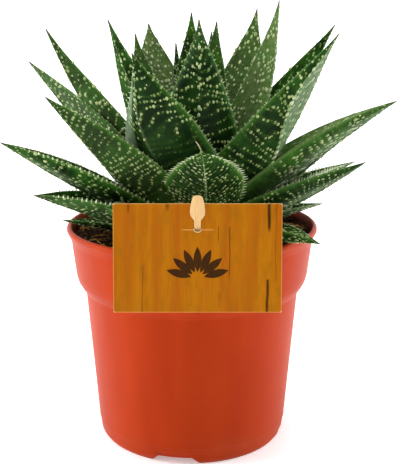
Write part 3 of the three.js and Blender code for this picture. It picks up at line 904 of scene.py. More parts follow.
def leaf_surface(leaf, share, across, upper):
    """Points on the skin, at shares of the leaf's length and places from -1 to 1 across it."""
    middle, _, right, up = leaf_lines(leaf, share)
    half, depth = leaf_outline(leaf, share)
    heights = section_heights(across, upper, half, depth)
    ripple = np.sin(share * RIPPLES_ALONG + across * RIPPLES_ACROSS + leaf["wave"])
    heights = heights * (1 + SKIN_RIPPLE * ripple * (1 - across ** 2))
    sideways = keel_moved(leaf, share, across, upper) * half
    return middle + right * sideways[..., None] + up * heights[..., None]


# %% [markdown]
# A leaf's mesh is a skin over rings, each of them the section at one share of the length. The points
# crowd together near the margins and the keel, where the surface turns most, so that few faces give a
# crisp edge. Every leaf has the same number of rings and points, so one list of faces fits all.

# %% Rings of a leaf
RING_COUNT = 84
UNDER = [0.99, 0.965, 0.92, 0.85, 0.76, 0.65, 0.53, 0.41, 0.3, 0.2, 0.12, 0.06, 0.025]
UPPER = [0.94, 0.8, 0.6, 0.35, 0.12]
RING_ACROSS = np.array(
    [1.0] + UPPER + [0.0] + [-x for x in reversed(UPPER)]
    + [-1.0] + [-x for x in UNDER] + [0.0] + list(reversed(UNDER))
)
RING_SIZE = len(RING_ACROSS)
LEFT_MARGIN = 2 * len(UPPER) + 2
KEEL_POINT = LEFT_MARGIN + len(UNDER) + 1


def skin_faces(rings, size):
    """Quads between rings, with a fan to one point at each end."""
    base_point, tip_point = rings * size, rings * size + 1
    faces = []
    for i in range(rings - 1):
        for j in range(size):
            k = (j + 1) % size
            faces.append((i * size + j, i * size + k, (i + 1) * size + k, (i + 1) * size + j))
    last = (rings - 1) * size
    for j in range(size):
        k = (j + 1) % size
        faces.append((base_point, k, j))
        faces.append((last + j, last + k, tip_point))
    return faces


LEAF_FACES = skin_faces(RING_COUNT, RING_SIZE)
print(f"a bare leaf has {len(LEAF_FACES)} faces")

# %% [markdown]
# The bands of spots slant up from the keel to both margins, lie closer towards the tip and wander a
# little. A band is where a phase is a whole number. The wander is a sum of a few waves whose phases
# are drawn with the leaf's own seed, so that no two leaves match and each run gives the same plant.

# %% Bands across a leaf
BAND_CROWDING = 1.22
BAND_WANDER = [(41.0, 0.42), (23.0, 0.28), (13.0, 0.16)]


def band_phase(leaf, share, across):
    """Which band a place is in. A wave of the wander has a length in mm and a strength in bands."""
    length = leaf_length(leaf)
    phase = share ** BAND_CROWDING * length / leaf["band_spacing"]
    phase = phase - leaf["band_slant"] * np.abs(across)
    # Each wave has three draws of the leaf's wander, and the first is spare.
    for (wave, strength), (_, shift, tilt) in zip(BAND_WANDER, leaf["wander"]):
        angle = share * length * 2 * pi / wave + across * (2 + tilt / 2) + shift
        phase = phase + strength * np.sin(angle)
    return phase


# %% [markdown]
# The tubercles need lines to stand on. The phase is worked out on a fine grid, and on every line along
# the leaf the place where it reaches a band's number is read off between the grid's steps. Joined
# across the leaf, those places are one row. It starts at random up to two steps further in, so that
# the rows don't all begin in one line.

# %% Rows for the spots
ROWS_FROM, ROWS_TO = 0.13, 0.965
ROW_HALF_WIDTH = 0.97
ROW_STEPS = 33
FINE_STEPS = 300
FIRST_STEPS = 3
SHORTEST_RUN = 3


def spot_rows(leaf):
    """Lines across both faces of the leaf, one for each band, as shares and places across."""
    fine = np.linspace(ROWS_FROM, ROWS_TO, FINE_STEPS)
    across = np.linspace(-ROW_HALF_WIDTH, ROW_HALF_WIDTH, ROW_STEPS)
    rows = []
    for upper in (False, True):
        phases = np.maximum.accumulate(band_phase(leaf, fine[:, None], across[None, :]), 0)
        for band in range(int(phases.min()) - 1, int(phases.max()) + 1):
            shares = np.array([
                np.interp(band, phases[:, k], fine, np.nan, np.nan) for k in range(ROW_STEPS)
            ])
            first = leaf["draw"].integers(0, FIRST_STEPS)
            known = np.flatnonzero(~np.isnan(shares[first:])) + first
            for run in np.split(known, np.flatnonzero(np.diff(known) > 1) + 1):
                if len(run) >= SHORTEST_RUN:
                    rows.append((shares[run], across[run], np.full(len(run), upper)))
    return rows


# %% [markdown]
# The sheen is painted light: a grey-green reflection of the bright studio, painted into the colour of
# a leaf's under face, on one flank or both. It starts a little beside the keel, fades before the margin
# where the leaf's look says so, and runs out before the tip.

# %% Painted sheen on a flank
SHEEN_KEEL_GAP = 0.12
SHEEN_RISE = 0.2
SHEEN_RUN_OUT = 0.15


def painted_flank_sheen(leaf, share, across, upper):
    """How much painted sheen, a painted reflection, lies on the skin, from 0 to 1."""
    place = np.abs(across)
    sheen_share = leaf["left_sheen"] * smoothstep(-across, 0.0, SHEEN_KEEL_GAP)
    sheen_share = sheen_share + leaf["right_sheen"] * smoothstep(across, 0.0, SHEEN_KEEL_GAP)
    sheen_share = sheen_share * (1 - smoothstep(place, leaf["sheen_width"] - leaf["sheen_fade"], leaf["sheen_width"]))
    sheen_share = sheen_share * smoothstep(place, leaf["sheen_from"], leaf["sheen_from"] + SHEEN_RISE)
    sheen_share = sheen_share * (1 - smoothstep(share, leaf["sheen_end"] - SHEEN_RUN_OUT, leaf["sheen_end"]))
    return sheen_share * (1 - upper)


# %% [markdown]
# The material and the node tree know a leaf only by what its mesh tells them. So each point gets its
# place on the leaf, its band, its colours and the directions in which teeth and tubercles stand. The
# direction out of the skin is measured from two places close together, which works for any formula.

# %% Values kept on a leaf
NORMAL_STEP = 0.01
NORMAL_LIMIT = 0.97
WHOLE_LEAF_VALUES = ["number", "fresh", "base_fresh", "keel_line", "cream_tip"]


def surface_values(leaf, share, across, upper):
    """What the materials and the tree need to know at places on the skin."""
    _, along, right, up = leaf_lines(leaf, share)
    half, _ = leaf_outline(leaf, share)
    inner = np.clip(across, -NORMAL_LIMIT, NORMAL_LIMIT)
    after, before = (leaf_surface(leaf, share, inner + step, upper) for step in (NORMAL_STEP, -NORMAL_STEP))
    normal = unit(np.cross(after - before, along)) * np.where(upper, 1.0, -1.0)[..., None]
    return {
        "share": share,
        "edge": np.abs(across),
        "upper": upper,
        "across": keel_moved(leaf, share, across, upper) * half * MM,
        "along": share * leaf_length(leaf) * MM,
        "half": half * MM,
        "phase": band_phase(leaf, share, across),
        # The pale share is a young leaf's lighter green, with painted light added on the upper face.
        "pale": leaf["pale"] + upper * leaf["upper_painted_light"],
        "sheen": painted_flank_sheen(leaf, share, across, upper),
        **{name: np.full(share.shape, leaf[name]) for name in WHOLE_LEAF_VALUES},
        "forward": along,
        "outward": np.sign(across)[..., None] * right + leaf["tooth_rise"] * up,
        "normal": normal,
    }


# %% [markdown]
# A bare leaf is the skin's mesh with the rows for its spots as loose edges on it. Marks tell the tree
# which points are margin, keel and row. The rings crowd a little towards the tip, where the outline
# changes fastest, and stop just short of it, so that one last point closes the leaf.

# %% Make a bare leaf
LAST_RING = 0.993
RING_CROWDING = 1.12
MARGIN_FROM, KEEL_FROM = 0.1, 0.3


def bare_leaf(leaf):
    """The leaf's skin, with the rows for its spots as loose lines on it."""
    spine = LAST_RING * (1 - (1 - np.linspace(0, 1, RING_COUNT)) ** RING_CROWDING)
    ring_place = np.tile(np.arange(RING_SIZE), RING_COUNT)
    share = np.repeat(spine, RING_SIZE)
    margin = np.isin(ring_place, [0, LEFT_MARGIN]) & (share > MARGIN_FROM)
    keel = (ring_place == KEEL_POINT) & (share > KEEL_FROM)
    base_and_tip = np.array([0.0, 1.0])
    rows = spot_rows(leaf)
    share = np.concatenate([share, base_and_tip, *[row[0] for row in rows]])
    across = np.concatenate([np.tile(RING_ACROSS, RING_COUNT), [0.0, 0.0], *[row[1] for row in rows]])
    upper = np.concatenate([ring_place < LEFT_MARGIN, [True, True], *[row[2] for row in rows]])

    edges, total = [], len(ring_place) + len(base_and_tip)
    marks = {"margin": margin, "keel": keel, "row": np.zeros(total)}
    for row_share, _, _ in rows:
        edges += [(total + k, total + k + 1) for k in range(len(row_share) - 1)]
        total += len(row_share)
    places = leaf_surface(leaf, share, across, upper)
    piece = new_piece(leaf["name"] + "_skin", places, LEAF_FACES, edges=edges)
    for name, values in surface_values(leaf, share, across, upper).items():
        keep_values(piece.data, name, values)
    for name, mark in marks.items():
        filler = 1.0 if name == "row" else 0.0
        keep_values(piece.data, name, np.append(mark, np.full(total - len(mark), filler)))
    return piece


# %% [markdown]
# ## Teeth and tubercles
# Every leaf carries the same kinds of relief: teeth along both margins, a row of tubercles on the
# keel, and rows of tubercles across its faces. They repeat hundreds of times and follow the surface,
# which is what Geometry Nodes are for. One tree serves all leaves. It finds the margins, the keel and
# the rows by the marks stored on the leaf, and sets pieces along them at even distances. First come
# the helpers that start such a tree and run it. A modifier's input has to be set by its identifier,
# since its name is only what a person reads.

# %% Start and run a tree
def new_tree(name, inputs):
    """A Geometry Nodes tree with a geometry input, the given inputs and a geometry output."""
    tree = bpy.data.node_groups.new(name, "GeometryNodeTree")
    tree.interface.new_socket("Geometry", in_out="INPUT", socket_type="NodeSocketGeometry")
    tree.interface.new_socket("Geometry", in_out="OUTPUT", socket_type="NodeSocketGeometry")
    for title, value in inputs.items():
        kind = "NodeSocketInt" if isinstance(value, int) else "NodeSocketFloat"
        tree.interface.new_socket(title, in_out="INPUT", socket_type=kind).default_value = value
    return tree, Wire(tree).node("NodeGroupInput")


def run_tree(piece, tree, values):
    """Runs a tree on a piece with named values, and keeps the plain mesh it makes."""
    modifier = piece.modifiers.new(tree.name, "NODES")
    modifier.node_group = tree
    for item in tree.interface.items_tree:
        if item.item_type == "SOCKET" and item.in_out == "INPUT" and item.name in values:
            modifier[item.identifier] = values[item.name]
    return settle(piece)


# %% [markdown]
# The next helpers are the tree's own everyday nodes: reading what is stored on the mesh, drawing a
# random number, adding directions, turning an axis towards one, and putting points along the marked
# edges. An instance is only a reference to a shape, so the last helper makes it real faces, smooth
# and with their material.

# %% Everyday nodes of a geometry tree
def named(start, name, kind="FLOAT"):
    return start.node("GeometryNodeInputNamedAttribute", {"data_type": kind}, {"Name": name})


def random_value(start, low, high, seed):
    sockets = {2: low, 3: high, "Seed": seed}
    return start.node("FunctionNodeRandomValue", {"data_type": "FLOAT"}, sockets, 1)


def added(start, first, second, share=1.0):
    """One direction plus a share of another."""
    scaled = start.node("ShaderNodeVectorMath", {"operation": "SCALE"}, {0: second, 3: share})
    return start.node("ShaderNodeVectorMath", {"operation": "ADD"}, {0: first, 1: scaled})


def facing(start, direction, axis="Z", rotation=None):
    """A rotation that turns an axis towards a direction, about Z where it already has a rotation."""
    settings, sockets = {"axis": axis}, {"Vector": direction}
    if rotation is not None:
        settings["pivot_axis"] = "Z"
        sockets["Rotation"] = rotation
    return start.node("FunctionNodeAlignRotationToVector", settings, sockets)


def above(value, limit):
    return value.math("GREATER_THAN", value, limit)


def along_line(start, name, spacing):
    """Evenly spaced points along the edges whose ends both have a stored mark."""
    sockets = {"Mesh": start, "Selection": above(named(start, name), 0.5)}
    line = start.node("GeometryNodeMeshToCurve", (), sockets)
    sockets = {"Curve": line, "Length": spacing}
    return start.node("GeometryNodeResampleCurve", {"mode": "LENGTH"}, sockets)


def made_real(start, instances, material):
    real = start.node("GeometryNodeRealizeInstances", (), {"Geometry": instances})
    real = start.node("GeometryNodeSetShadeSmooth", (), {"Geometry": real, "Shade Smooth": True})
    return start.node("GeometryNodeSetMaterial", (), {"Geometry": real, "Material": material})


# %% [markdown]
# A tooth is a small cone that leans towards the leaf's tip. It stands on a thin bead that runs along
# the whole margin. Both shrink where the leaf gets narrow. The cone is drawn one tooth high and scaled
# afterwards, so its radius and depth are shares of a tooth, and it sits a little low to root it.

# %% Teeth along the margins
TOOTH_SIDES = 5
TOOTH_RADIUS, TOOTH_DEPTH, TOOTH_SUNK = 0.24, 1.3, 0.2
TOOTH_LEAN = 0.45
TOOTH_SIZES = (0.7, 1.25)
FULL_HALF_WIDTH = 7.0 * MM
BEAD_STEP = 1.6 * MM
BEAD_SIDES = 5
LEAST_BEAD = 0.15


def narrowing(start, least=0.0):
    """1 where the leaf is broad, and less as it gets narrow, but a little more than nothing."""
    return smallest(named(start, "half") / FULL_HALF_WIDTH + least, 1.0)


def add_teeth(start, spacing, height, seed):
    cone = start.node("GeometryNodeMeshCone", {"fill_type": "NONE"}, {
        "Vertices": TOOTH_SIDES,
        "Side Segments": 2,
        "Radius Top": 0.0,
        "Radius Bottom": TOOTH_RADIUS,
        "Depth": TOOTH_DEPTH,
    })
    sockets = {"Geometry": cone, "Translation": (0, 0, -TOOTH_SUNK)}
    outward, forward = (named(start, name, "FLOAT_VECTOR") for name in ("outward", "forward"))
    teeth = start.node("GeometryNodeInstanceOnPoints", (), {
        "Points": along_line(start, "margin", spacing),
        "Instance": start.node("GeometryNodeTransform", (), sockets),
        "Rotation": facing(start, added(start, outward, forward, TOOTH_LEAN)),
        "Scale": narrowing(start) * height * random_value(start, *TOOTH_SIZES, seed),
    })
    return made_real(start, teeth, TOOTH)


def add_margin_bead(start, radius):
    sockets = {"Resolution": BEAD_SIDES, "Radius": radius}
    bead = start.node("GeometryNodeCurveToMesh", (), {
        "Curve": along_line(start, "margin", BEAD_STEP),
        "Profile Curve": start.node("GeometryNodeCurvePrimitiveCircle", (), sockets),
        "Scale": narrowing(start, LEAST_BEAD),
        "Fill Caps": True,
    })
    return made_real(start, bead, MARGIN)


# %% [markdown]
# A tubercle is a flattened ball, half sunk in the skin. Most lie a little longer along the leaf, those
# on the keel more so, and on the streaked leaf they stretch along their row. They are shifted a little
# at random, or the rows would look stitched. Each random value adds its own number to the seed, so
# that a big tubercle isn't always a shifted one too.

# %% Place and turn of a tubercle
SIDE_DRAW, LENGTH_DRAW = 7, 8


def tubercle_points(start, mark, spacing, jitter, seed):
    """Points along the marked lines, moved a little at random along the row and the leaf."""
    tangent, forward = start.node("GeometryNodeInputTangent"), named(start, "forward", "FLOAT_VECTOR")
    sideways = random_value(start, -1.0, 1.0, seed + SIDE_DRAW) * jitter
    lengthways = random_value(start, -1.0, 1.0, seed + LENGTH_DRAW) * jitter
    nowhere = start.node("ShaderNodeCombineXYZ")
    offset = added(start, added(start, nowhere, tangent, sideways), forward, lengthways)
    points = along_line(start, mark, spacing)
    return start.node("GeometryNodeSetPosition", (), {"Geometry": points, "Offset": offset})


def tubercle_turn(start, follow):
    """Flat on the skin, with its long side along the leaf or, by a share, along its row."""
    tangent, forward = start.node("GeometryNodeInputTangent"), named(start, "forward", "FLOAT_VECTOR")
    direction = added(start, added(start, forward, forward, -follow), tangent, follow)
    return facing(start, direction, "X", facing(start, named(start, "normal", "FLOAT_VECTOR")))


# %% [markdown]
# Some tubercles are missing at random, and none stand on the smooth base. A share from 0 to 1 falls
# near the base and the tip, on the upper face and where the painted sheen lies on a flank. A random
# number is taken from it, and what is still above 0 stays. The size varies more than twofold, and
# shrinks where the leaf gets narrow.

# %% Tubercles
TUBERCLE_FLATNESS = 0.42
TUBERCLE_SIZES = (0.5, 1.35)
LEAST_TUBERCLE = 0.3
MISSING = 0.22
SHEEN_STRETCH = 0.8
BASE_FADE = (-0.12, 0.06)
TIP_FADE = (0.96, 0.985)
MISSING_DRAW, SIZE_DRAW = 5, 3


def kept_tubercles(start, seed):
    """1 where a tubercle stays."""
    kept = rise(named(start, "share") - start.beside("Smooth Base"), *BASE_FADE)
    kept = kept * (1 - rise(named(start, "share"), *TIP_FADE))
    kept = kept * (1 - named(start, "upper") * (1 - start.beside("Upper Spots")))
    # Fewer tubercles where the painted sheen, a painted reflection, lies.
    kept = kept * (1 - named(start, "sheen") * (1 - start.beside("Sheen Spots")))
    return above(kept - random_value(start, 0.0, 1 / (1 - MISSING), seed + MISSING_DRAW), 0.0)


def add_tubercles(start, mark, spacing, size, stretch, follow, jitter, seed, material):
    ball = start.node("GeometryNodeMeshIcoSphere", (), {"Radius": 1.0, "Subdivisions": 1})
    stretch = stretch * (1 + named(start, "sheen") * SHEEN_STRETCH)
    scale = size * narrowing(start, LEAST_TUBERCLE)
    scale = scale * random_value(start, *TUBERCLE_SIZES, seed + SIZE_DRAW)
    spots = start.node("GeometryNodeInstanceOnPoints", (), {
        "Points": tubercle_points(start, mark, spacing, jitter, seed),
        "Selection": kept_tubercles(start, seed),
        "Instance": ball,
        "Rotation": tubercle_turn(start, follow),
        "Scale": vector(scale * stretch, scale / (stretch * 0.5 + 0.5), scale * TUBERCLE_FLATNESS),
    })
    return made_real(start, spots, material)


# %% [markdown]
# The whole tree joins the bare skin with its relief. Its inputs are the entries of a look that have
# capitals, each with the usual leaf's value, so that a leaf only changes what differs. The loose rows
# have served their purpose once the tubercles stand on them, and are deleted from the skin.

# %% The whole tree
MEASURED = [
    "Tooth Spacing", "Tooth Height", "Bead Radius", "Tubercle Spacing", "Tubercle Size",
    "Keel Spacing", "Keel Size",
]
PURE = ["Tubercle Stretch", "Follow Rows", "Upper Spots", "Sheen Spots", "Smooth Base"]
JITTER, KEEL_JITTER = 0.5 * MM, 0.3 * MM
KEEL_STRETCH = 1.15
KEEL_DRAW = 50


def tree_inputs(look, seed):
    """The tree's inputs from a leaf's look, with its sizes in metres."""
    sizes = {name: look[name] * MM for name in MEASURED}
    return sizes | {name: look[name] for name in PURE} | {"Seed": seed}


dressing, start = new_tree("leaf_dressing", tree_inputs(USUAL_LOOK, 0))
seed, stretch = start.beside("Seed"), start.beside("Tubercle Stretch")
rows = above(named(start, "row"), 0.5)
sockets = {"Geometry": start, "Selection": rows}
bare = start.node("GeometryNodeDeleteGeometry", {"domain": "POINT"}, sockets)
skin = start.node("GeometryNodeSetMaterial", (), {"Geometry": bare, "Material": LEAF_SKIN})
relief = [
    add_teeth(start, start.beside("Tooth Spacing"), start.beside("Tooth Height"), seed),
    add_margin_bead(start, start.beside("Bead Radius")),
    add_tubercles(
        start, "keel", start.beside("Keel Spacing"), start.beside("Keel Size"),
        stretch * KEEL_STRETCH, 0.0, KEEL_JITTER, seed + KEEL_DRAW, KEEL_TUBERCLE,
    ),
    add_tubercles(
        start, "row", start.beside("Tubercle Spacing"), start.beside("Tubercle Size"),
        stretch, start.beside("Follow Rows"), JITTER, seed, TUBERCLE,
    ),
]
joined = start.node("GeometryNodeJoinGeometry", (), {"Geometry": [skin, *relief]})
start.node("NodeGroupOutput", (), {"Geometry": joined})
print(f"the dressing tree has {len(dressing.nodes)} nodes")

# %% [markdown]
# Now each leaf is made, dressed and handed to the frame: it rides on the body and it takes the place
# of its solid.

# %% Make the rosette
YOUNG = ["inner_leaf_6", "inner_leaf_7", "inner_leaf_8", "inner_leaf_9"]
SEED_STEP = 7

leaf_pieces = []
for leaf in rosette:
    piece = run_tree(bare_leaf(leaf), dressing, tree_inputs(leaf, leaf["number"] * SEED_STEP))
    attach(piece, "root")
    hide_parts(leaf["name"].removesuffix("_front"))
    "young_leaf_green" if leaf["name"] in YOUNG else "leaf_green"
    leaf_pieces.append(piece)
most = max(map(triangles, leaf_pieces))
print(f"{len(leaf_pieces)} leaves, {sum(map(triangles, leaf_pieces))} triangles, at most {most} in one")

# %% [markdown]
# ## The pot
# A nursery pot is one moulding: a foot ring with air notches, a conical wall with a fine parting line
# near its foot, a step out to a wide band, and a rolled lip. All of it but the notches and holes is a
# profile turned round the axis. A Screw modifier could turn it too, but this short loop also gives
# each pole a single point. It serves the soil and the stem as well.

# %% Turn a profile round the axis
ON_AXIS = 1e-6


def turned(name, profile, sides, closed, materials=()):
    """A solid of revolution about the pot's axis from (radius, height) points, going up outside."""
    points, rings, faces = [], [], []
    for radius, height in profile:
        if radius < ON_AXIS:
            rings.append([len(points)] * sides)
            points.append((0.0, 0.0, height))
            continue
        rings.append(list(range(len(points), len(points) + sides)))
        for k in range(sides):
            turn = 2 * pi * k / sides
            points.append((radius * cos(turn), radius * sin(turn), height))
    pairs = list(zip(rings, rings[1:]))
    if closed:
        pairs.append((rings[-1], rings[0]))
    for low, high in pairs:
        for k in range(sides):
            n = (k + 1) % sides
            face = [low[k], low[n], high[n], high[k]]
            face = [v for i, v in enumerate(face) if v not in face[:i]]
            if len(face) > 2:
                faces.append(tuple(face))
    return new_piece(name, points, faces, materials)


# %% [markdown]
# The profile is written once, outside and inside, in radius and height. It takes its rim and its top
# from the frame. The wall is thin everywhere, so the inside repeats the outside less the thickness,
# and only the lip is thicker, because it is rolled. Its corners are rounded as a mould's are.

# %% Pot profile
FOOT_RADIUS = 51.2
SHOULDER, SHOULDER_RADIUS = 84.5, 59.9
BAND_FOOT = 91.5
BAND_LOW, BAND_RADIUS = 95, 65.1
LIP_HEIGHT = 5.0
POT_WALL = 1.7
FLOOR_LOW, FLOOR_HIGH = 4.5, 6.5
PARTING_HEIGHT = 9.4
WALL_ROUNDING, FLOOR_ROUNDING = 0.7, 0.5

outer_wall = [
    (FOOT_RADIUS, 0), (FOOT_RADIUS + 1.6, 2.2), (FOOT_RADIUS + 2.4, PARTING_HEIGHT - 0.3),
    (FOOT_RADIUS + 2.75, PARTING_HEIGHT), (FOOT_RADIUS + 2.7, PARTING_HEIGHT + 0.9),
    (SHOULDER_RADIUS, SHOULDER), (60.4, 86), (62.1, 87.8), (64.2, BAND_FOOT), (BAND_RADIUS, BAND_LOW),
    (67.4, POT_HEIGHT - LIP_HEIGHT - 2.4), (68.7, POT_HEIGHT - LIP_HEIGHT + 0.7),
    (RIM_RADIUS, POT_HEIGHT - 2), (69.4, POT_HEIGHT - 0.5), (68.7, POT_HEIGHT),
]
inner_wall = [
    (67.6, POT_HEIGHT), (67.0, POT_HEIGHT - 1.2), (65.4, POT_HEIGHT - 8),
    (BAND_RADIUS - POT_WALL, BAND_LOW), (62.4, BAND_FOOT), (SHOULDER_RADIUS - POT_WALL, SHOULDER),
    (FOOT_RADIUS + 2.5 - POT_WALL, 9), (FOOT_RADIUS - 0.6, FLOOR_HIGH),
]
pot_floor = [
    (0, FLOOR_HIGH), (0, FLOOR_LOW), (FOOT_RADIUS - 2.4, FLOOR_LOW), (FOOT_RADIUS - 2, 0),
]
pot_profile = rounded([*outer_wall, *inner_wall], WALL_ROUNDING, 3)
pot_profile += rounded([inner_wall[-1], *pot_floor, outer_wall[0]], FLOOR_ROUNDING, 2)[1:-1]
print(f"the pot's profile has {len(pot_profile)} points")

# %% [markdown]
# The plastic is dyed right through, so its colour hardly changes. What shows is how it was moulded and
# handled: a faint flow pattern up the wall, a fine matt grain, a few pale scuffs where pots rubbed
# against each other in the stack, and a trace of dust low on the foot. Inside, above the soil, the
# wall is painted darker in patches. The darkening needs to know which side of the wall a point lies
# on, so it compares its distance from the axis with the middle of the wall at its height.

# %% Darker wall inside the pot
WALL_MIDDLE = 63.9 * MM
WALL_SLOPE = 0.105
WALL_BLUR = 0.4 * MM
DARKENING_TOP = (POT_HEIGHT - 4.0, POT_HEIGHT - 1.5)
DARKENING_FOOT = (BAND_FOOT, BAND_FOOT + 3.0)


def from_axis(place):
    """How far a place lies from the pot's axis."""
    split = part_of(place, "X")
    reach_x, reach_y = split - AXIS.x, split.beside("Y") - AXIS.y
    return (reach_x * reach_x + reach_y * reach_y).put_through("SQRT")


def inner_wall_darkening(place, height):
    """How much darker the inside of the wall is painted, above the soil."""
    wall = from_axis(place) - WALL_MIDDLE - (height - BAND_FOOT * MM) * WALL_SLOPE
    inside = 1 - rise(wall, -WALL_BLUR, WALL_BLUR)
    inside = inside * (1 - rise(height, *(limit * MM for limit in DARKENING_TOP)))
    inside = inside * rise(height, *(limit * MM for limit in DARKENING_FOOT))
    return inside * (0.5 + rise(noise(place, 120.0, 4.0), 0.35, 0.6) * 0.45)


# %% [markdown]
# The rest of the plastic is layers again, each laid in by its own pattern. Its shine is low and a
# little warm, because a white glint would turn the orange milky.

# %% Pot plastic
PLASTIC = (paint(161, 46, 9), paint(170, 53, 12))
PLASTIC_CLOUD, PLASTIC_SCUFF = paint(150, 40, 6), paint(226, 120, 86)
FOOT_DUST, INNER_WALL_DARK = paint(196, 128, 96), paint(64, 26, 14)
DUST_TOP = (0.002, 0.02)
PLASTIC_RELIEF = 0.12 * MM


def pot_plastic():
    material, tree = new_material("terracotta_plastic")
    place = object_place(tree)
    height = part_of(place, "Z")
    flow = noise(stretched(place, 1.0, 1.0, 0.12), 60.0, 3.0)
    clouds = noise(place, 22.0, 3.0)
    grain = noise(place, 2600.0, 2.0)
    marks = noise(stretched(place, 0.5, 0.5, 6.0), 55.0, 5.0, 0.65, 0.6)
    scuffs = rise(marks, 0.68, 0.74) * rise(noise(place, 30.0, 2.0), 0.56, 0.68)
    dust = (1 - rise(height, *DUST_TOP)) * rise(clouds, 0.35, 0.7)
    colour = blend_colours(rise(flow, 0.3, 0.7), *PLASTIC)
    colour = blend_colours(rise(clouds, 0.35, 0.75) * 0.3, colour, PLASTIC_CLOUD)
    colour = blend_colours(scuffs * 0.35, colour, PLASTIC_SCUFF)
    colour = blend_colours(dust * 0.12, colour, FOOT_DUST)
    finish_material(tree, {
        # The inside of the wall is painted darker above the soil, in noisy patches.
        "Base Color": blend_colours(inner_wall_darkening(place, height), colour, INNER_WALL_DARK),
        "Roughness": 0.4 + flow * 0.1 + scuffs * 0.15 + dust * 0.15,
        "Specular IOR Level": 0.1,
        "Specular Tint": (1.0, 0.62, 0.4, 1.0),
        "Normal": bump(grain * 0.35 + flow * 0.6 + scuffs * 0.3, PLASTIC_RELIEF),
    })
    return material


POT_PLASTIC = pot_plastic()
print(f"the pot's plastic has {len(POT_PLASTIC.node_tree.nodes)} nodes")

# %% [markdown]
# The notches under the foot ring let air and water past, and the drain holes lie beside them on the
# pot's floor. Turning can't make what isn't round, so they are cut. A cutter is a prism: a flat
# outline pushed through the wall, well past both of its sides, because a cutter that ends level with
# a face leaves slivers.

# %% Outlines of the cutters
NOTCH_HEIGHT = 4.0
NOTCH_FOOT_WIDTH, NOTCH_TOP_WIDTH = 24.0, 19.0
NOTCH_FLARE, NOTCH_SPLAY, NOTCH_BELOW = 1.2, 3.0, 2.0
NOTCH_ROUNDING = 1.4
DRAIN_RADIUS = 4.5
DRAIN_SIDES = 40


def prism(outline, near, far, place):
    """A closed prism over a 2-D outline, from near to far, with each point placed by a function."""
    count = len(outline)
    points = [place(x, y, depth) for depth in (near, far) for x, y in outline]
    faces = [tuple(range(count)), tuple(reversed(range(count, 2 * count)))]
    faces += [(i, i + count, (i + 1) % count + count, (i + 1) % count) for i in range(count)]
    return points, faces


foot, top = NOTCH_FOOT_WIDTH / 2, NOTCH_TOP_WIDTH / 2
notch_half = [(foot + NOTCH_SPLAY, -NOTCH_BELOW), (foot + NOTCH_FLARE, 0), (top, NOTCH_HEIGHT)]
notch_corners = [(-x, z) for x, z in notch_half] + notch_half[::-1]
notch_outline = rounded(notch_corners, NOTCH_ROUNDING)
drain_turns = [2 * pi * k / DRAIN_SIDES for k in range(DRAIN_SIDES)]
drain_outline = [(DRAIN_RADIUS * cos(turn), DRAIN_RADIUS * sin(turn)) for turn in drain_turns]
print(f"outlines of {len(notch_outline)} and {len(drain_outline)} points")

# %% [markdown]
# Four notches and four holes repeat round the axis. All of them go into one cutter, so that one
# Boolean cuts them in one go, which is quicker and safer than eight cuts one after another.

# %% One cutter for notches and holes
NOTCH_COUNT = 4
NOTCH_TURN = -100
NOTCH_FROM, NOTCH_TO = FOOT_RADIUS - 12, FOOT_RADIUS + 8
DRAIN_CIRCLE = 34.0
DRAIN_OVERCUT = 3.0

cutter_points, cutter_faces = [], []
for i in range(NOTCH_COUNT):
    turn = radians(NOTCH_TURN + 360 / NOTCH_COUNT * i)
    out = np.array([cos(turn), sin(turn), 0.0])
    side = np.array([-sin(turn), cos(turn), 0.0])
    up = np.array([0.0, 0.0, 1.0])
    notch = prism(notch_outline, NOTCH_FROM, NOTCH_TO,
                  lambda x, y, depth: side * x + up * y + out * depth)
    hole = prism(drain_outline, FLOOR_LOW - DRAIN_OVERCUT, FLOOR_HIGH + DRAIN_OVERCUT,
                 lambda x, y, depth: out * (DRAIN_CIRCLE + x) + side * y + up * depth)
    for points, faces in (notch, hole):
        shift = len(cutter_points)
        cutter_points += points
        cutter_faces += [tuple(v + shift for v in face) for face in faces]
cutter = new_piece("cutter", cutter_points, cutter_faces)
face_outwards(cutter)
print(f"a cutter of {triangles(cutter)} triangles")

# %% [markdown]
# The profile is turned with enough sides that the rim looks round from close by. Its shape is closed,
# so the Boolean knows inside from outside. Once the cut is plain mesh, the cutter isn't needed.

# %% Make the pot
POT_SIDES = 224

pot_profile = [(max(radius, 0.0), height) for radius, height in pot_profile]
pot = turned("nursery_pot", pot_profile, POT_SIDES, True, [POT_PLASTIC])
cut = pot.modifiers.new("notches", "BOOLEAN")
cut.operation = "DIFFERENCE"
cut.solver = "EXACT"
cut.object = cutter
settle(pot)
bpy.data.objects.remove(cutter)
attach(pot, "root")
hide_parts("pot")
print(f"pot of {triangles(pot)} triangles")

# %% [markdown]
# ## The soil
# Potting peat is a dark, loose crumb with pale fibres in it. Bed, crumbs and fibres are one stuff in
# three tones, so one function makes all three materials: two colours, mixed by coarse and fine noise,
# and a rough surface that swallows the light.

# %% Soil materials
PEAT_RELIEF = 0.6 * MM


def peat(name, low, high, grain_size, roughness=0.95):
    material, tree = new_material(name)
    place = object_place(tree)
    clumps = noise(place, 240.0, 4.0, 0.6)
    grain = noise(place, grain_size, 4.0, 0.65)
    finish_material(tree, {
        "Base Color": blend_colours(rise(clumps * 0.6 + grain * 0.4, 0.38, 0.64), low, high),
        "Roughness": roughness - grain * 0.15,
        "Specular IOR Level": 0.08,
        "Normal": bump(clumps + grain, PEAT_RELIEF),
    })
    return material


PEAT_BED = peat("peat_bed", paint(18, 10, 6), paint(50, 32, 18), 900.0)
PEAT_CRUMB = peat("peat_crumb", paint(22, 13, 8), paint(92, 56, 26), 1400.0)
PEAT_FIBRE = peat("peat_fibre", paint(128, 82, 34), paint(208, 160, 88), 1800.0, 0.85)
print("three tones of peat")

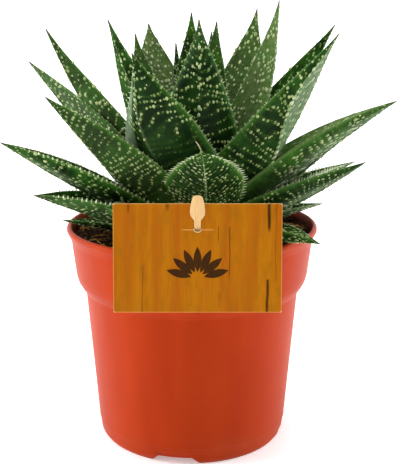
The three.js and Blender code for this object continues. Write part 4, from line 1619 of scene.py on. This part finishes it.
# %% [markdown]
# The bed fills the pot and is a turned profile too. Its top is flat at first, and then raised by a sum
# of a few waves into low mounds, a little higher against the wall. Sculpting would look no different
# under all the crumbs.

# %% Soil bed
SOIL_TOP = POT_HEIGHT - 5.0
SOIL_EDGE = 65.0
SOIL_SIDES = 180
SOIL_RINGS = 44
SOIL_PILE, PILE_FROM = 1.0, 0.82
TOP_MARGIN = 0.5


def soil_height(x, y):
    """The height of the bed's top, with its mounds."""
    broad = 0.9 * np.sin(0.23 * x + 1.3) * np.cos(0.19 * y) + 0.5 * np.sin(0.41 * y - 0.27 * x)
    fine = 0.35 * np.sin(0.9 * x + 0.7 * y) * np.sin(1.1 * y - 0.5 * x + 2)
    piled = SOIL_PILE * smoothstep(np.hypot(x, y), PILE_FROM * SOIL_EDGE, SOIL_EDGE)
    return SOIL_TOP + broad + fine + piled


soil_profile = [
    (0, FLOOR_HIGH + 0.3), (FOOT_RADIUS - 1.1, FLOOR_HIGH + 0.3), (FOOT_RADIUS + 0.35, 10),
    (57.7, SHOULDER), (61.8, BAND_FOOT + 0.3), (62.9, 95.5), (64.4, 109), (SOIL_EDGE, SOIL_TOP - 2.5),
]
soil_profile += [(SOIL_EDGE * (1 - k / SOIL_RINGS), SOIL_TOP) for k in range(1, SOIL_RINGS + 1)]
soil = turned("potting_soil", soil_profile, SOIL_SIDES, False)
for vertex in soil.data.vertices:
    if vertex.co.z / MM > SOIL_TOP - TOP_MARGIN:
        x, y = (vertex.co.x - AXIS.x) / MM, (vertex.co.y - AXIS.y) / MM
        vertex.co.z = soil_height(x, y) * MM
print(f"a bed of {triangles(soil)} triangles")

# %% [markdown]
# Crumbs and fibres are scattered over the bed by Geometry Nodes, which place thousands without a line
# for each. The tree first has to know where the top is: high enough up, and facing up. Points are only
# drawn there, so nothing grows out of the bed's side or foot.

# %% Start the tree that scatters
SCATTERED = {
    "Crumb Distance": 1.9 * MM,
    "Crumb Size": 1.05 * MM,
    "Fibre Density": 30000.0,
    "Fibre Length": 10.0 * MM,
    "Fibre Radius": 0.26 * MM,
    "Seed": 11,
}
HIGH_ENOUGH = ((SOIL_TOP - 6) * MM, (SOIL_TOP - 4) * MM)
FACING_UP = (0.4, 0.6)

scatter, start = new_tree("soil_scatter", SCATTERED)
seed = start.beside("Seed")
position = start.node("GeometryNodeInputPosition")
steepness = part_of(start.node("GeometryNodeInputNormal"), "Z")
on_top = rise(part_of(position, "Z"), *HIGH_ENOUGH) * rise(steepness, *FACING_UP)


def any_turn(start, tilt, seed):
    """A random turn about the upright, tilted at random by up to a given angle."""
    euler = vector(
        random_value(start, -tilt, tilt, seed),
        random_value(start, -tilt, tilt, seed + 1),
        random_value(start, 0.0, 2 * pi, seed + 2),
    )
    return start.node("FunctionNodeEulerToRotation", (), {"Euler": euler})


# %% [markdown]
# A crumb is a ball with few faces, pushed out of round by noise. Its three sides are scaled by random
# numbers of their own, each with its own number added to the seed, so one shape looks like many.
# Poisson distribution keeps the crumbs at least a small distance apart, as real ones push each other
# aside.

# %% Crumbs
LUMP_SCALE, LUMP_SIZE = 1.3, 1.5
MOST_CRUMBS = 900000.0
CRUMB_TILT = 1.5
CRUMB_LENGTHS, CRUMB_WIDTHS, CRUMB_HEIGHTS = (0.45, 1.7), (0.45, 1.4), (0.35, 0.9)

ball = start.node("GeometryNodeMeshIcoSphere", (), {"Radius": 1.0, "Subdivisions": 1})
ball_place = start.node("GeometryNodeInputPosition")
sockets = {"Vector": ball_place, "Scale": LUMP_SCALE}
lumps = start.node("ShaderNodeTexNoise", (), sockets, "Color")
lumps = added(start, lumps, (-0.5, -0.5, -0.5))
lumps = start.node("ShaderNodeVectorMath", {"operation": "SCALE"}, {0: lumps, 3: LUMP_SIZE})
crumb_points = start.node("GeometryNodeDistributePointsOnFaces", {"distribute_method": "POISSON"}, {
    "Mesh": start,
    "Distance Min": start.beside("Crumb Distance"),
    "Density Max": MOST_CRUMBS,
    "Density Factor": on_top,
    "Seed": seed,
})
crumb_size = start.beside("Crumb Size")
crumbs = start.node("GeometryNodeInstanceOnPoints", (), {
    "Points": crumb_points,
    "Instance": start.node("GeometryNodeSetPosition", (), {"Geometry": ball, "Offset": lumps}),
    "Rotation": any_turn(start, CRUMB_TILT, seed + 20),
    "Scale": vector(
        crumb_size * random_value(start, *CRUMB_LENGTHS, seed + 30),
        crumb_size * random_value(start, *CRUMB_WIDTHS, seed + 31),
        crumb_size * random_value(start, *CRUMB_HEIGHTS, seed + 32),
    ),
})
print(f"crumbs at least {SCATTERED['Crumb Distance'] / MM:.1f} mm apart")

# %% [markdown]
# A fibre is a bent thread: a short curve with a four-sided profile, drawn one unit long. It may not
# poke through the pot, so the tree shortens a fibre that lies near the wall to the room it has there,
# which is measured from just past the bed's edge.

# %% Fibres
FIBRE_PAST_EDGE = 1.0
FIBRE_FULL_ROOM = 5.2
FIBRE_TILT = 0.12
FIBRE_LENGTHS = (0.3, 1.25)
FIBRE_LIFTS = (0.0002, 0.0011)

fibre_line = start.node("GeometryNodeCurvePrimitiveBezierSegment", (), {
    "Resolution": 6,
    "Start": (-0.5, 0, 0.0),
    "Start Handle": (-0.2, 0.22, 0.08),
    "End Handle": (0.2, -0.25, 0.12),
    "End": (0.5, 0.05, 0.02),
})
fibre_profile = start.node("GeometryNodeCurvePrimitiveCircle", (), {"Resolution": 4, "Radius": 1.0})
fibre = start.node("GeometryNodeCurveToMesh", (), {
    "Curve": fibre_line,
    "Profile Curve": fibre_profile,
    "Scale": start.beside("Fibre Radius") / start.beside("Fibre Length"),
    "Fill Caps": True,
})
fibre_points = start.node("GeometryNodeDistributePointsOnFaces", {"distribute_method": "RANDOM"}, {
    "Mesh": start,
    "Density": start.beside("Fibre Density") * on_top,
    "Seed": seed + 40,
})
lifted = start.node("GeometryNodeSetPosition", (), {
    "Geometry": fibre_points,
    "Offset": vector(0.0, 0.0, random_value(start, *FIBRE_LIFTS, seed + 44)),
})
room = ((SOIL_EDGE + FIBRE_PAST_EDGE) * MM - from_axis(position)) / (FIBRE_FULL_ROOM * MM)
length_share = smallest(room, random_value(start, *FIBRE_LENGTHS, seed + 60))
fibres = start.node("GeometryNodeInstanceOnPoints", (), {
    "Points": lifted,
    "Instance": fibre,
    "Rotation": any_turn(start, FIBRE_TILT, seed + 50),
    "Scale": start.beside("Fibre Length") * length_share,
})
print(f"the scatter tree has {len(scatter.nodes)} nodes so far")

# %% [markdown]
# Bed, crumbs and fibres are joined at the end of the tree, each with its own material, and come out as
# one mesh, since the soil is one piece.

# %% Scatter the soil
bed = start.node("GeometryNodeSetMaterial", (), {"Geometry": start, "Material": PEAT_BED})
parts = [bed, made_real(start, crumbs, PEAT_CRUMB), made_real(start, fibres, PEAT_FIBRE)]
joined = start.node("GeometryNodeJoinGeometry", (), {"Geometry": parts})
start.node("NodeGroupOutput", (), {"Geometry": joined})
run_tree(soil, scatter, SCATTERED)
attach(soil, "root")
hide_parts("soil")
print(f"soil of {triangles(soil)} triangles")

# %% [markdown]
# ## The stem
# The stem hardly shows: a short pale green trunk between the lowest leaves and the soil, ringed with
# the scars of leaves that fell. It is a turned profile with a low groove at each scar.

# %% Stem
STEM_PROFILE = [
    (0, 84), (4, 86), (7, 96), (8.5, 110), (9, 118), (7, 132), (4, 143), (1.2, 150), (0, 151),
]
STEM_STEPS = 130
STEM_SIDES = 48
SCAR_SPACING = 2.6
SCAR_DEPTH = 0.22
STEM_RELIEF = 0.3 * MM


def stem_profile():
    heights = np.linspace(STEM_PROFILE[0][1], STEM_PROFILE[-1][1], STEM_STEPS)
    radii = np.interp(heights, [z for r, z in STEM_PROFILE], [r for r, z in STEM_PROFILE])
    radii[1:-1] -= SCAR_DEPTH * (1 - np.cos(heights[1:-1] * 2 * pi / SCAR_SPACING)) / 2
    return list(zip(np.maximum(radii, 0.0), heights))


def stem_skin():
    material, tree = new_material("stem_skin")
    place = object_place(tree)
    streaks = noise(stretched(place, 1.0, 1.0, 0.2), 700.0, 4.0)
    patches = noise(place, 160.0, 3.0)
    colour = blend_colours(rise(streaks, 0.3, 0.7), paint(104, 118, 68), paint(140, 148, 92))
    finish_material(tree, {
        "Base Color": blend_colours(rise(patches, 0.48, 0.66), colour, paint(112, 86, 56)),
        "Roughness": 0.55 + patches * 0.2,
        "Normal": bump(streaks + patches, STEM_RELIEF),
    })
    return material


stem = turned("stem_skin", stem_profile(), STEM_SIDES, False, [stem_skin()])
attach(stem, "root")
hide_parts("stem")
print(f"stem of {triangles(stem)} triangles")

# %% [markdown]
# ## The tag
# The tag is a printed card on a small flat stick. The card leans in against the leaves, and the stick
# comes up behind it, through a hole, and out over its face. The two share one place: the middle of
# the card's top edge. Both are drawn flat, in millimetres from that place, and leaned afterwards,
# which is far easier than drawing them leaning.

# %% Place of the tag
CARD_WIDTH, CARD_HEIGHT, CARD_THICK = 83.0, 54.0, 0.6
CARD_LEAN = 8.0
CARD_TOP = 147.7
CARD_SHIFT = 2.8
CARD_BEHIND_RIM = 3.7
SLOT_WIDTH, SLOT_HEIGHT = 3.7, 6.6
SLOT_BELOW_TOP = 10.4

tag_place = Matrix.Translation((CARD_SHIFT, CARD_BEHIND_RIM - RIM_RADIUS, CARD_TOP))
tag_place = tag_place @ Matrix.Rotation(radians(-CARD_LEAN), 4, "X")
slot_middle = tag_place @ Vector((0, -CARD_THICK / 2, -SLOT_BELOW_TOP))
print(f"the hole's middle is {slot_middle.z:.1f} mm above the table")

# %% [markdown]
# The card's front is printed like an old board: warm brown with a fine upright grain, darker streaks
# and eight upright cracks, some of which start at an edge. The print keeps to the card's own flat
# coordinates, so that it lies straight on the leaning card. Each pattern is a noise that is drawn out
# along the grain. A crack's row says how far across it lies, where it starts and ends, half its width
# and how dark it is.

# %% Printed wood
CRACK_COLUMNS = ["across", "top", "foot", "half", "depth"]
CRACKS = [
    (35.0, 1.0, -15.0, 0.9, 0.95), (34.2, -37.0, -58.0, 0.8, 0.9), (15.8, -11.0, -38.0, 0.4, 0.55),
    (10.2, -11.0, -21.0, 0.4, 0.5), (-33.4, 1.0, -6.0, 0.6, 0.6), (-14.6, 1.0, -5.0, 1.0, 0.7),
    (-27.0, -30.0, -58.0, 0.35, 0.4), (38.6, 1.0, -40.0, 0.3, 0.4),
]
WOOD = (paint(170, 92, 5), paint(180, 110, 4))
WOOD_GRAIN, WOOD_FLECK, WOOD_BLOTCH = paint(146, 76, 6), paint(200, 126, 20), paint(150, 96, 6)
WOOD_STREAK, WOOD_CRACK = paint(96, 48, 10), paint(34, 16, 3)


def printed_wood(flat, x, z, grain, fine):
    broad = noise(stretched(flat, 1.0, 1.0, 0.06), 0.16, 2.0)
    blotches = noise(stretched(flat, 1.0, 1.0, 0.35), 0.3, 3.0)
    colour = blend_colours(rise(broad, 0.35, 0.65), *WOOD)
    colour = blend_colours(rise(grain, 0.45, 0.72) * 0.5, colour, WOOD_GRAIN)
    colour = blend_colours(rise(fine, 0.5, 0.8) * 0.3, colour, WOOD_FLECK)
    colour = blend_colours(rise(blotches, 0.48, 0.7) * 0.5, colour, WOOD_BLOTCH)
    streaks = rise(noise(stretched(flat, 1.0, 1.0, 0.02), 0.55, 4.0, 0.6), 0.6, 0.72)
    streaks = streaks * rise(noise(stretched(flat, 0.6, 1.0, 0.5), 0.12, 2.0), 0.5, 0.64)
    colour = blend_colours(streaks * 0.55, colour, WOOD_STREAK)
    bent = x + (noise(stretched(flat, 0.02, 1.0, 0.012), 4.0, 2.0) - 0.5) * 2.0
    for row in CRACKS:
        crack = dict(zip(CRACK_COLUMNS, row))
        line = 1 - rise(abs(bent - crack["across"]), crack["half"] * 0.4, crack["half"] * 1.3)
        line = line * rise(z, crack["foot"], crack["foot"] + 4.0)
        line = line * (1 - rise(z, crack["top"] - 1.0, crack["top"]))
        colour = blend_colours(line * (0.6 + grain * 0.6) * crack["depth"], colour, WOOD_CRACK)
    return colour


print(f"{len(CRACKS)} cracks in the printed board")

# %% [markdown]
# A plain fan of seven leaf shapes is printed low in the card's middle. One leaf is worked out from how
# far a point lies along it and across it: the width is widest halfway and nothing at both ends. The
# same shape turned to seven angles, and the largest of them at each point, is the fan.

# %% Printed fan
FAN_LEAVES = 7
FAN_GAP = 3.0
FAN_LENGTH = 13.0
FAN_HALF_WIDTH = 2.1
FAN_SPREAD = 150.0
FAN_HEIGHT = -37.0
INK_EDGE = 0.25
INK = paint(34, 20, 7)


def leaf_shape(x, z, angle):
    """1 inside a pointed leaf that starts near the fan's foot and points at an angle from upright."""
    along = x * sin(angle) + z * cos(angle)
    across = abs(x * cos(angle) - z * sin(angle))
    share = (along - FAN_GAP) / FAN_LENGTH
    width = FAN_HALF_WIDTH * 4 * share * (1 - share)
    return rise(width - across, 0.0, INK_EDGE) * rise(along, FAN_GAP - 0.1, FAN_GAP + 0.1)


def printed_fan(x, z):
    steps = [k / (FAN_LEAVES - 1) - 0.5 for k in range(FAN_LEAVES)]
    fan, *others = [leaf_shape(x, z - FAN_HEIGHT, radians(FAN_SPREAD * step)) for step in steps]
    for shape in others:
        fan = largest(fan, shape)
    return fan


# %% [markdown]
# Handling shows on a card first. The core is cream. It is bare on the back, on the cut edges and at the
# worn corners, and shines through where the print is rubbed along its rim. A crease on both sides of
# the hole has lightened the print. The distance to the nearest edge, with a little noise, gives the
# rubbed line.

# %% Wear of the card
CREASE_HEIGHT = -12.9
CREASE_BLUR = (0.12, 0.42)
CREASE_OUTER_END, CREASE_INNER_END = (6.0, 9.0), (2.2, 2.6)
CORNER_WEAR = (1.3, 0.6)
EDGE_WEAR = (0.1, 0.45)


def card_crease(x, z):
    crease = 1 - rise(abs(z - CREASE_HEIGHT), *CREASE_BLUR)
    return crease * (1 - rise(abs(x), *CREASE_OUTER_END)) * rise(abs(x), *CREASE_INNER_END)


def worn_corners(x, z):
    """1 past a slanting line across each corner."""
    corner = (CARD_WIDTH + CARD_HEIGHT) / 2
    return rise(abs(x) + abs(z + CARD_HEIGHT / 2), *(corner - wear for wear in CORNER_WEAR))


def worn_edges(x, z, fine):
    near_edge = smallest(CARD_WIDTH / 2 - abs(x), smallest(-z, z + CARD_HEIGHT))
    return 1 - rise(near_edge + (fine - 0.5) * 0.3, *EDGE_WEAR)


# %% [markdown]
# The card's material puts them together from the bottom up, as they happened: the printed wood, the
# ink of the fan, the crease, the rubbed edges, and last the bare core. Coated card is a little glossy
# and its core is not.

# %% Card print
CREASE_TONE, RUBBED_TONE = paint(232, 168, 90), paint(226, 172, 92)
CORE = (paint(206, 176, 124), paint(220, 196, 148))
CARD_RELIEF = 0.12 * MM


def card_print():
    material, tree = new_material("printed_card")
    flat = stored(tree, "flat", "Vector")
    x = part_of(flat, "X")
    z = x.beside("Z")
    grain = noise(stretched(flat, 1.0, 1.0, 0.035), 2.4, 5.0, 0.62, 0.4)
    fine = noise(stretched(flat, 1.0, 1.0, 0.05), 9.0, 3.0, 0.6)
    crease = card_crease(x, z)
    bare = largest(1 - stored(tree, "front"), worn_corners(x, z))
    ink = printed_fan(x, z) * (0.86 + rise(fine, 0.3, 0.7) * 0.12)
    colour = blend_colours(ink, printed_wood(flat, x, z, grain, fine), INK)
    colour = blend_colours(crease * 0.6, colour, CREASE_TONE)
    colour = blend_colours(worn_edges(x, z, fine) * 0.6, colour, RUBBED_TONE)
    core = blend_colours(rise(fine, 0.3, 0.7), *CORE)
    finish_material(tree, {
        "Base Color": blend_colours(bare, colour, core),
        "Roughness": 0.5 + bare * 0.3 + grain * 0.08,
        "Specular IOR Level": 0.06,
        "Normal": bump(crease + fine * 0.12 + grain * 0.15, CARD_RELIEF),
    })
    return material


CARD_PRINT = card_print()
print(f"the card's print has {len(CARD_PRINT.node_tree.nodes)} nodes")

# %% [markdown]
# The card is stamped out of a flat sheet, with small round corners and a hole for the stick: square at
# the top and round at its foot. What is cut from flat stock is easiest as a filled outline. The fill
# takes the outline and the hole together and lays triangles between them.

# %% Outlines of the card
CORNER_ROUNDING = 0.5
HOLE_STEPS = 20
HOLE_HALF = SLOT_WIDTH / 2
HOLE_HIGH = -SLOT_BELOW_TOP + SLOT_HEIGHT / 2
HOLE_ARC_HEIGHT = -SLOT_BELOW_TOP - SLOT_HEIGHT / 2 + HOLE_HALF


def card_outline():
    half = CARD_WIDTH / 2
    corners = [(0, 0), (half, 0), (half, -CARD_HEIGHT), (-half, -CARD_HEIGHT), (-half, 0), (0, 0)]
    return rounded(corners, CORNER_ROUNDING, 4)[1:-1]


def hole_outline():
    turns = [pi * k / HOLE_STEPS for k in range(HOLE_STEPS + 1)]
    arc = [(-HOLE_HALF * cos(turn), HOLE_ARC_HEIGHT - HOLE_HALF * sin(turn)) for turn in turns]
    return [(-HOLE_HALF, HOLE_HIGH), *arc, (HOLE_HALF, HOLE_HIGH)]


def filled_between(outer, inner):
    """Triangles that fill the space between two closed 2-D outlines."""
    sheet = bmesh.new()
    for outline in (outer, inner):
        ring = [sheet.verts.new((x, 0, z)) for x, z in outline]
        for a, b in zip(ring, ring[1:] + ring[:1]):
            sheet.edges.new((a, b))
    bmesh.ops.triangle_fill(sheet, use_beauty=True, edges=sheet.edges)
    sheet.verts.index_update()
    points = [tuple(v.co) for v in sheet.verts]
    faces = [tuple(v.index for v in face.verts) for face in sheet.faces]
    sheet.free()
    return points, faces


# %% [markdown]
# The stick has pushed a small lip of card forward at the hole's lower end. It is a thin horseshoe that
# follows the hole's round foot and bulges most in its middle.

# %% Pushed lip
LIP_STEPS = 16
LIP_FROM, LIP_SWEEP = -12, 156
LIP_GAP = 0.15
LIP_WIDTH = 0.42
LIP_RISE = 0.5
LIP_BACK, LIP_FRONT = 0.1, -0.35


def pushed_lip():
    section = [(0, LIP_BACK), (LIP_WIDTH, LIP_BACK), (LIP_WIDTH, LIP_FRONT), (0, LIP_FRONT)]
    points, faces = [], []
    for k in range(LIP_STEPS + 1):
        turn = radians(LIP_FROM - LIP_SWEEP * k / LIP_STEPS)
        bulge = LIP_RISE * sin(pi * k / LIP_STEPS)
        for radius, y in section:
            reach = HOLE_HALF + LIP_GAP + radius
            z = HOLE_ARC_HEIGHT + reach * sin(turn)
            points.append((reach * cos(turn), -CARD_THICK + y - bulge, z))
    for k in range(LIP_STEPS):
        for j in range(4):
            a, b = 4 * k + j, 4 * k + (j + 1) % 4
            faces.append((a, b, b + 4, a + 4))
    last = 4 * LIP_STEPS
    return points, [*faces, (3, 2, 1, 0), (last, last + 1, last + 2, last + 3)]


# %% [markdown]
# Two copies of the filled sheet, a card's thickness apart, are joined by walls round the outline and
# round the hole. The mesh keeps each point's flat place for the print and marks which faces are the
# printed front. The edges stay sharp, so the card isn't shaded smooth.

# %% Make the card
def card_mesh():
    """The card's flat points, its faces and which faces are printed."""
    outer, inner = card_outline(), hole_outline()
    sheet, faces = filled_between(outer, inner)
    count = len(sheet)
    points = [(x, -CARD_THICK, z) for x, _, z in sheet] + [(x, 0.0, z) for x, _, z in sheet]
    solid = faces + [tuple(v + count for v in face) for face in faces]
    for first, size in ((0, len(outer)), (len(outer), len(inner))):
        for i in range(size):
            a, b = first + i, first + (i + 1) % size
            solid.append((a, b, b + count, a + count))
    lip_points, lip_faces = pushed_lip()
    solid += [tuple(v + len(points) for v in face) for face in lip_faces]
    return points + lip_points, solid, [i < len(faces) for i in range(len(solid))]


card_flat, card_faces, card_is_front = card_mesh()
card_points = [tag_place @ Vector(point) for point in card_flat]
card = new_piece("printed_tag", card_points, card_faces, [CARD_PRINT], smooth=False)
keep_values(card.data, "flat", card_flat)
keep_values(card.data, "front", card_is_front, "FACE")
face_outwards(card)
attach(card, "root")
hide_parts("tag_card")
print(f"card of {triangles(card)} triangles")

# %% [markdown]
# The stick is a flat splint of pale birch, stamped out with a paddle-shaped head and with its edges
# rubbed round. Its wood has a straight grain, finer than the printed one, and short darker flecks. It
# follows the stick's own flat coordinates, since a tree's grain runs along a splint however it leans.

# %% Stick wood
BIRCH = (paint(210, 166, 104), paint(228, 190, 130))
BIRCH_FINE, BIRCH_FLECK = paint(206, 162, 102), paint(190, 142, 86)
BIRCH_RELIEF = 0.1 * MM


def stick_wood():
    material, tree = new_material("pale_birch")
    flat = stored(tree, "flat", "Vector")
    grain = noise(stretched(flat, 1.0, 1.0, 0.06), 3.2, 4.0, 0.6, 0.3)
    fine = noise(stretched(flat, 1.0, 1.0, 0.04), 14.0, 3.0, 0.6)
    flecks = rise(noise(stretched(flat, 1.0, 1.0, 0.25), 5.0, 2.0), 0.62, 0.74)
    colour = blend_colours(rise(grain, 0.3, 0.7), *BIRCH)
    colour = blend_colours(rise(fine, 0.5, 0.8) * 0.4, colour, BIRCH_FINE)
    finish_material(tree, {
        "Base Color": blend_colours(flecks * 0.4, colour, BIRCH_FLECK),
        "Roughness": 0.5 + fine * 0.15,
        "Normal": bump(grain * 0.5 + fine * 0.5, BIRCH_RELIEF),
    })
    return material


# %% [markdown]
# The outline is half of a list of widths, mirrored, and pointed at the foot so that it goes into the
# soil. A Bevel modifier rubs the long edges round, which would be tedious to list by hand.

# %% Make the stick
STICK_THICK = 1.2
STICK_LEAN = 14.0
STICK_HALF_WIDTH = 1.7
STICK_FOOT, STICK_POINT = -42.0, 8
HEAD_TOP = 15.8
HEAD_WIDTHS = [
    (0.0, STICK_HALF_WIDTH), (2.5, STICK_HALF_WIDTH), (3.9, 2.7), (5.4, 3.65), (8.0, 3.75),
    (11.5, 3.2), (14.0, 2.6), (15.2, 2.25), (HEAD_TOP, 1.0),
]
EDGE_ROUNDING = 0.35 * MM

right = [(STICK_HALF_WIDTH * 0.2, STICK_FOOT), (STICK_HALF_WIDTH, STICK_FOOT + STICK_POINT)]
right = rounded(right + [(width, height) for height, width in HEAD_WIDTHS], 1.2)
outline = [*right, *[(-x, z) for x, z in reversed(right)]]
stick_flat, stick_faces = prism(
    outline, -STICK_THICK / 2, STICK_THICK / 2, lambda x, z, depth: (x, depth, z)
)
stick_tilt = Matrix.Rotation(radians(STICK_LEAN), 4, "X")
stick_points = [slot_middle + (stick_tilt @ Vector(point)) for point in stick_flat]
stick = new_piece("birch_stick", stick_points, stick_faces, [stick_wood()])
keep_values(stick.data, "flat", stick_flat)
face_outwards(stick)
edges = stick.modifiers.new("rubbed_edges", "BEVEL")
edges.width = EDGE_ROUNDING
edges.segments = 3
edges.limit_method = "ANGLE"
edges.angle_limit = radians(50)
settle(stick)
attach(stick, "root")
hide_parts("tag_stick")
print(f"stick of {triangles(stick)} triangles")

# %% [markdown]
# ## Sizes
# The dressed plant has to stay the size of its frame. How far each corner of its box lies from the frame's
# is printed.

# %% Compare the sizes
visual_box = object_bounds()
for name, cad_corner, visual_corner in zip(("low", "high"), cad_box, visual_box):
    difference = [round((b - a) / MM, 2) for a, b in zip(cad_corner, visual_corner)]
    print(f"{name} corner is off by {difference} mm")
